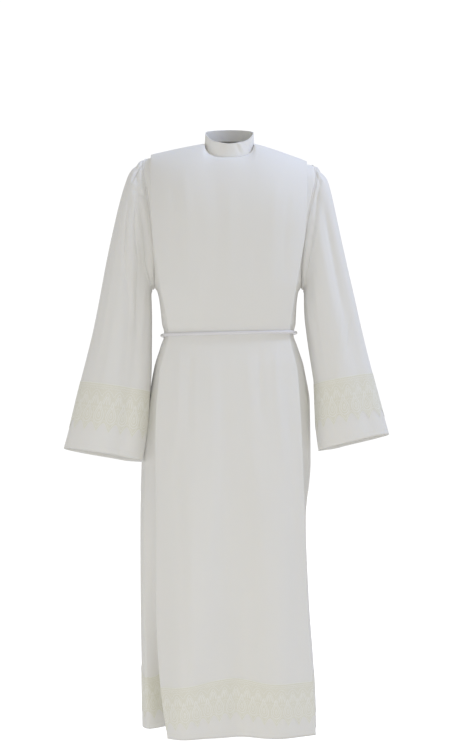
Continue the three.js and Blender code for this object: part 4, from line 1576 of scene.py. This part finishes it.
class ALB_OT_waist_cord(bpy.types.Operator):
    """Make the satin cord round the waist"""

    bl_idname = "alb.waist_cord"
    bl_label = "Waist Cord"

    def execute(self, context):
        sizes = context.scene.alb_cord
        radius = sizes.diameter / MM / 2
        reach = context.scene.alb_cloth.thickness / MM / 2 + sizes.gap / MM + radius
        cord = cord_ring("alb_waist_cord", waist_path(reach, sizes.tilt), radius)
        place(cord, "cord", "waist_cord")
        return {"FINISHED"}


class ALB_OT_stage(bpy.types.Operator):
    """Make the floor, lights and camera"""

    bl_idname = "alb.stage"
    bl_label = "Floor, Lights and Camera"

    def execute(self, context):
        scene = context.scene
        stage = scene.alb_stage
        floor_z = HEM_Z - stage.floor_gap / MM
        reach = FLOOR_REACH / MM
        corners = [(x * reach, y * reach, floor_z) for x, y in ((-1, -1), (1, -1), (1, 1), (-1, 1))]
        floor = make_object("studio_floor", corners, [(0, 1, 2, 3)], material=finish("floor"))
        # The paper shows, but throws no light up at the cloth, which a small studio would not have
        floor.visible_diffuse = False

        data = bpy.data.cameras.new("camera")
        data.lens = stage.focal_length
        data.clip_end = SIGHT
        camera = link(bpy.data.objects.new("camera", data))
        camera.location = (stage.camera_side, -stage.camera_distance, stage.camera_height)
        camera.rotation_euler = (math.radians(90), 0, 0)
        scene.camera = camera

        # Name, power, colour, place and width in metres of each light
        lights = (
            ("key_light", stage.key, "fffdf4", (-3.4, -2.4, -1.4), 2.0),
            ("fill_light", stage.fill, "fffdf4", (2.4, -2.6, -1.35), 1.6),
            ("cool_top_light", stage.top, "ccdbff", (1.7, -0.2, 2.3), 1.4),
            ("low_front_light", stage.low, "fffdf6", (-0.15, -1.9, -1.2), 1.0),
        )
        for name, power, colour, spot, size in lights:
            light = bpy.data.lights.new(name, "AREA")
            light.energy = power
            light.color = linear(colour)[:3]
            light.shape = "DISK"
            light.size = size
            lamp = link(bpy.data.objects.new(name, light))
            lamp.location = spot
            lamp.visible_camera = False
            aim = np.array(LIGHT_TARGET) - spot
            tilt = math.acos(-aim[2] / np.linalg.norm(aim))
            lamp.rotation_euler = (tilt, 0, math.atan2(-aim[0], aim[1]))

        world = bpy.data.worlds.new("white_room")
        world.use_nodes = True
        tree = world.node_tree
        tree.nodes.clear()
        seen = add_node(tree, "ShaderNodeLightPath").outputs["Is Camera Ray"]
        strengths = {0: seen, 2: stage.ambient, 3: ROOM_BRIGHTNESS}
        strength = add_node(tree, "ShaderNodeMix", strengths).outputs[0]
        # The light is faintly warm, and the room behind is plain white
        tones = {0: seen, 6: linear("fdfcfa"), 7: (1, 1, 1, 1)}
        tone = add_node(tree, "ShaderNodeMix", tones, data_type="RGBA").outputs[2]
        room = add_node(tree, "ShaderNodeBackground", {"Color": tone, "Strength": strength}).outputs[0]
        add_node(tree, "ShaderNodeOutputWorld", {"Surface": room})
        scene.world = world
        scene.view_settings.view_transform = "Standard"
        scene.view_settings.look = "None"
        return {"FINISHED"}


class ALB_PT_alb(bpy.types.Panel):
    """Sizes of the alb and the steps that make it"""

    bl_idname = "ALB_PT_alb"
    bl_label = "Alb"
    bl_space_type = "VIEW_3D"
    bl_region_type = "UI"
    bl_category = "Alb"

    def draw(self, context):
        layout = self.layout
        for name, group in GROUPS.items():
            box = layout.box()
            box.label(text=group.__doc__)
            for item in group.__annotations__:
                box.prop(getattr(context.scene, name), item)
        for operator in OPERATORS:
            layout.operator(operator.bl_idname)


OPERATORS = (ALB_OT_stage, ALB_OT_body, ALB_OT_sleeves, ALB_OT_collar, ALB_OT_lace, ALB_OT_waist_cord)
CLASSES = (*GROUPS.values(), *OPERATORS, ALB_PT_alb)


def register():
    for item in CLASSES:
        bpy.utils.register_class(item)
    for name, group in GROUPS.items():
        setattr(bpy.types.Scene, name, PointerProperty(type=group))


def unregister():
    for name in GROUPS:
        delattr(bpy.types.Scene, name)
    for item in reversed(CLASSES):
        bpy.utils.unregister_class(item)


def main():
    register()
    for operator in OPERATORS:
        group, name = operator.bl_idname.split(".")
        getattr(getattr(bpy.ops, group), name)()


if __name__ == "__main__":
    main()
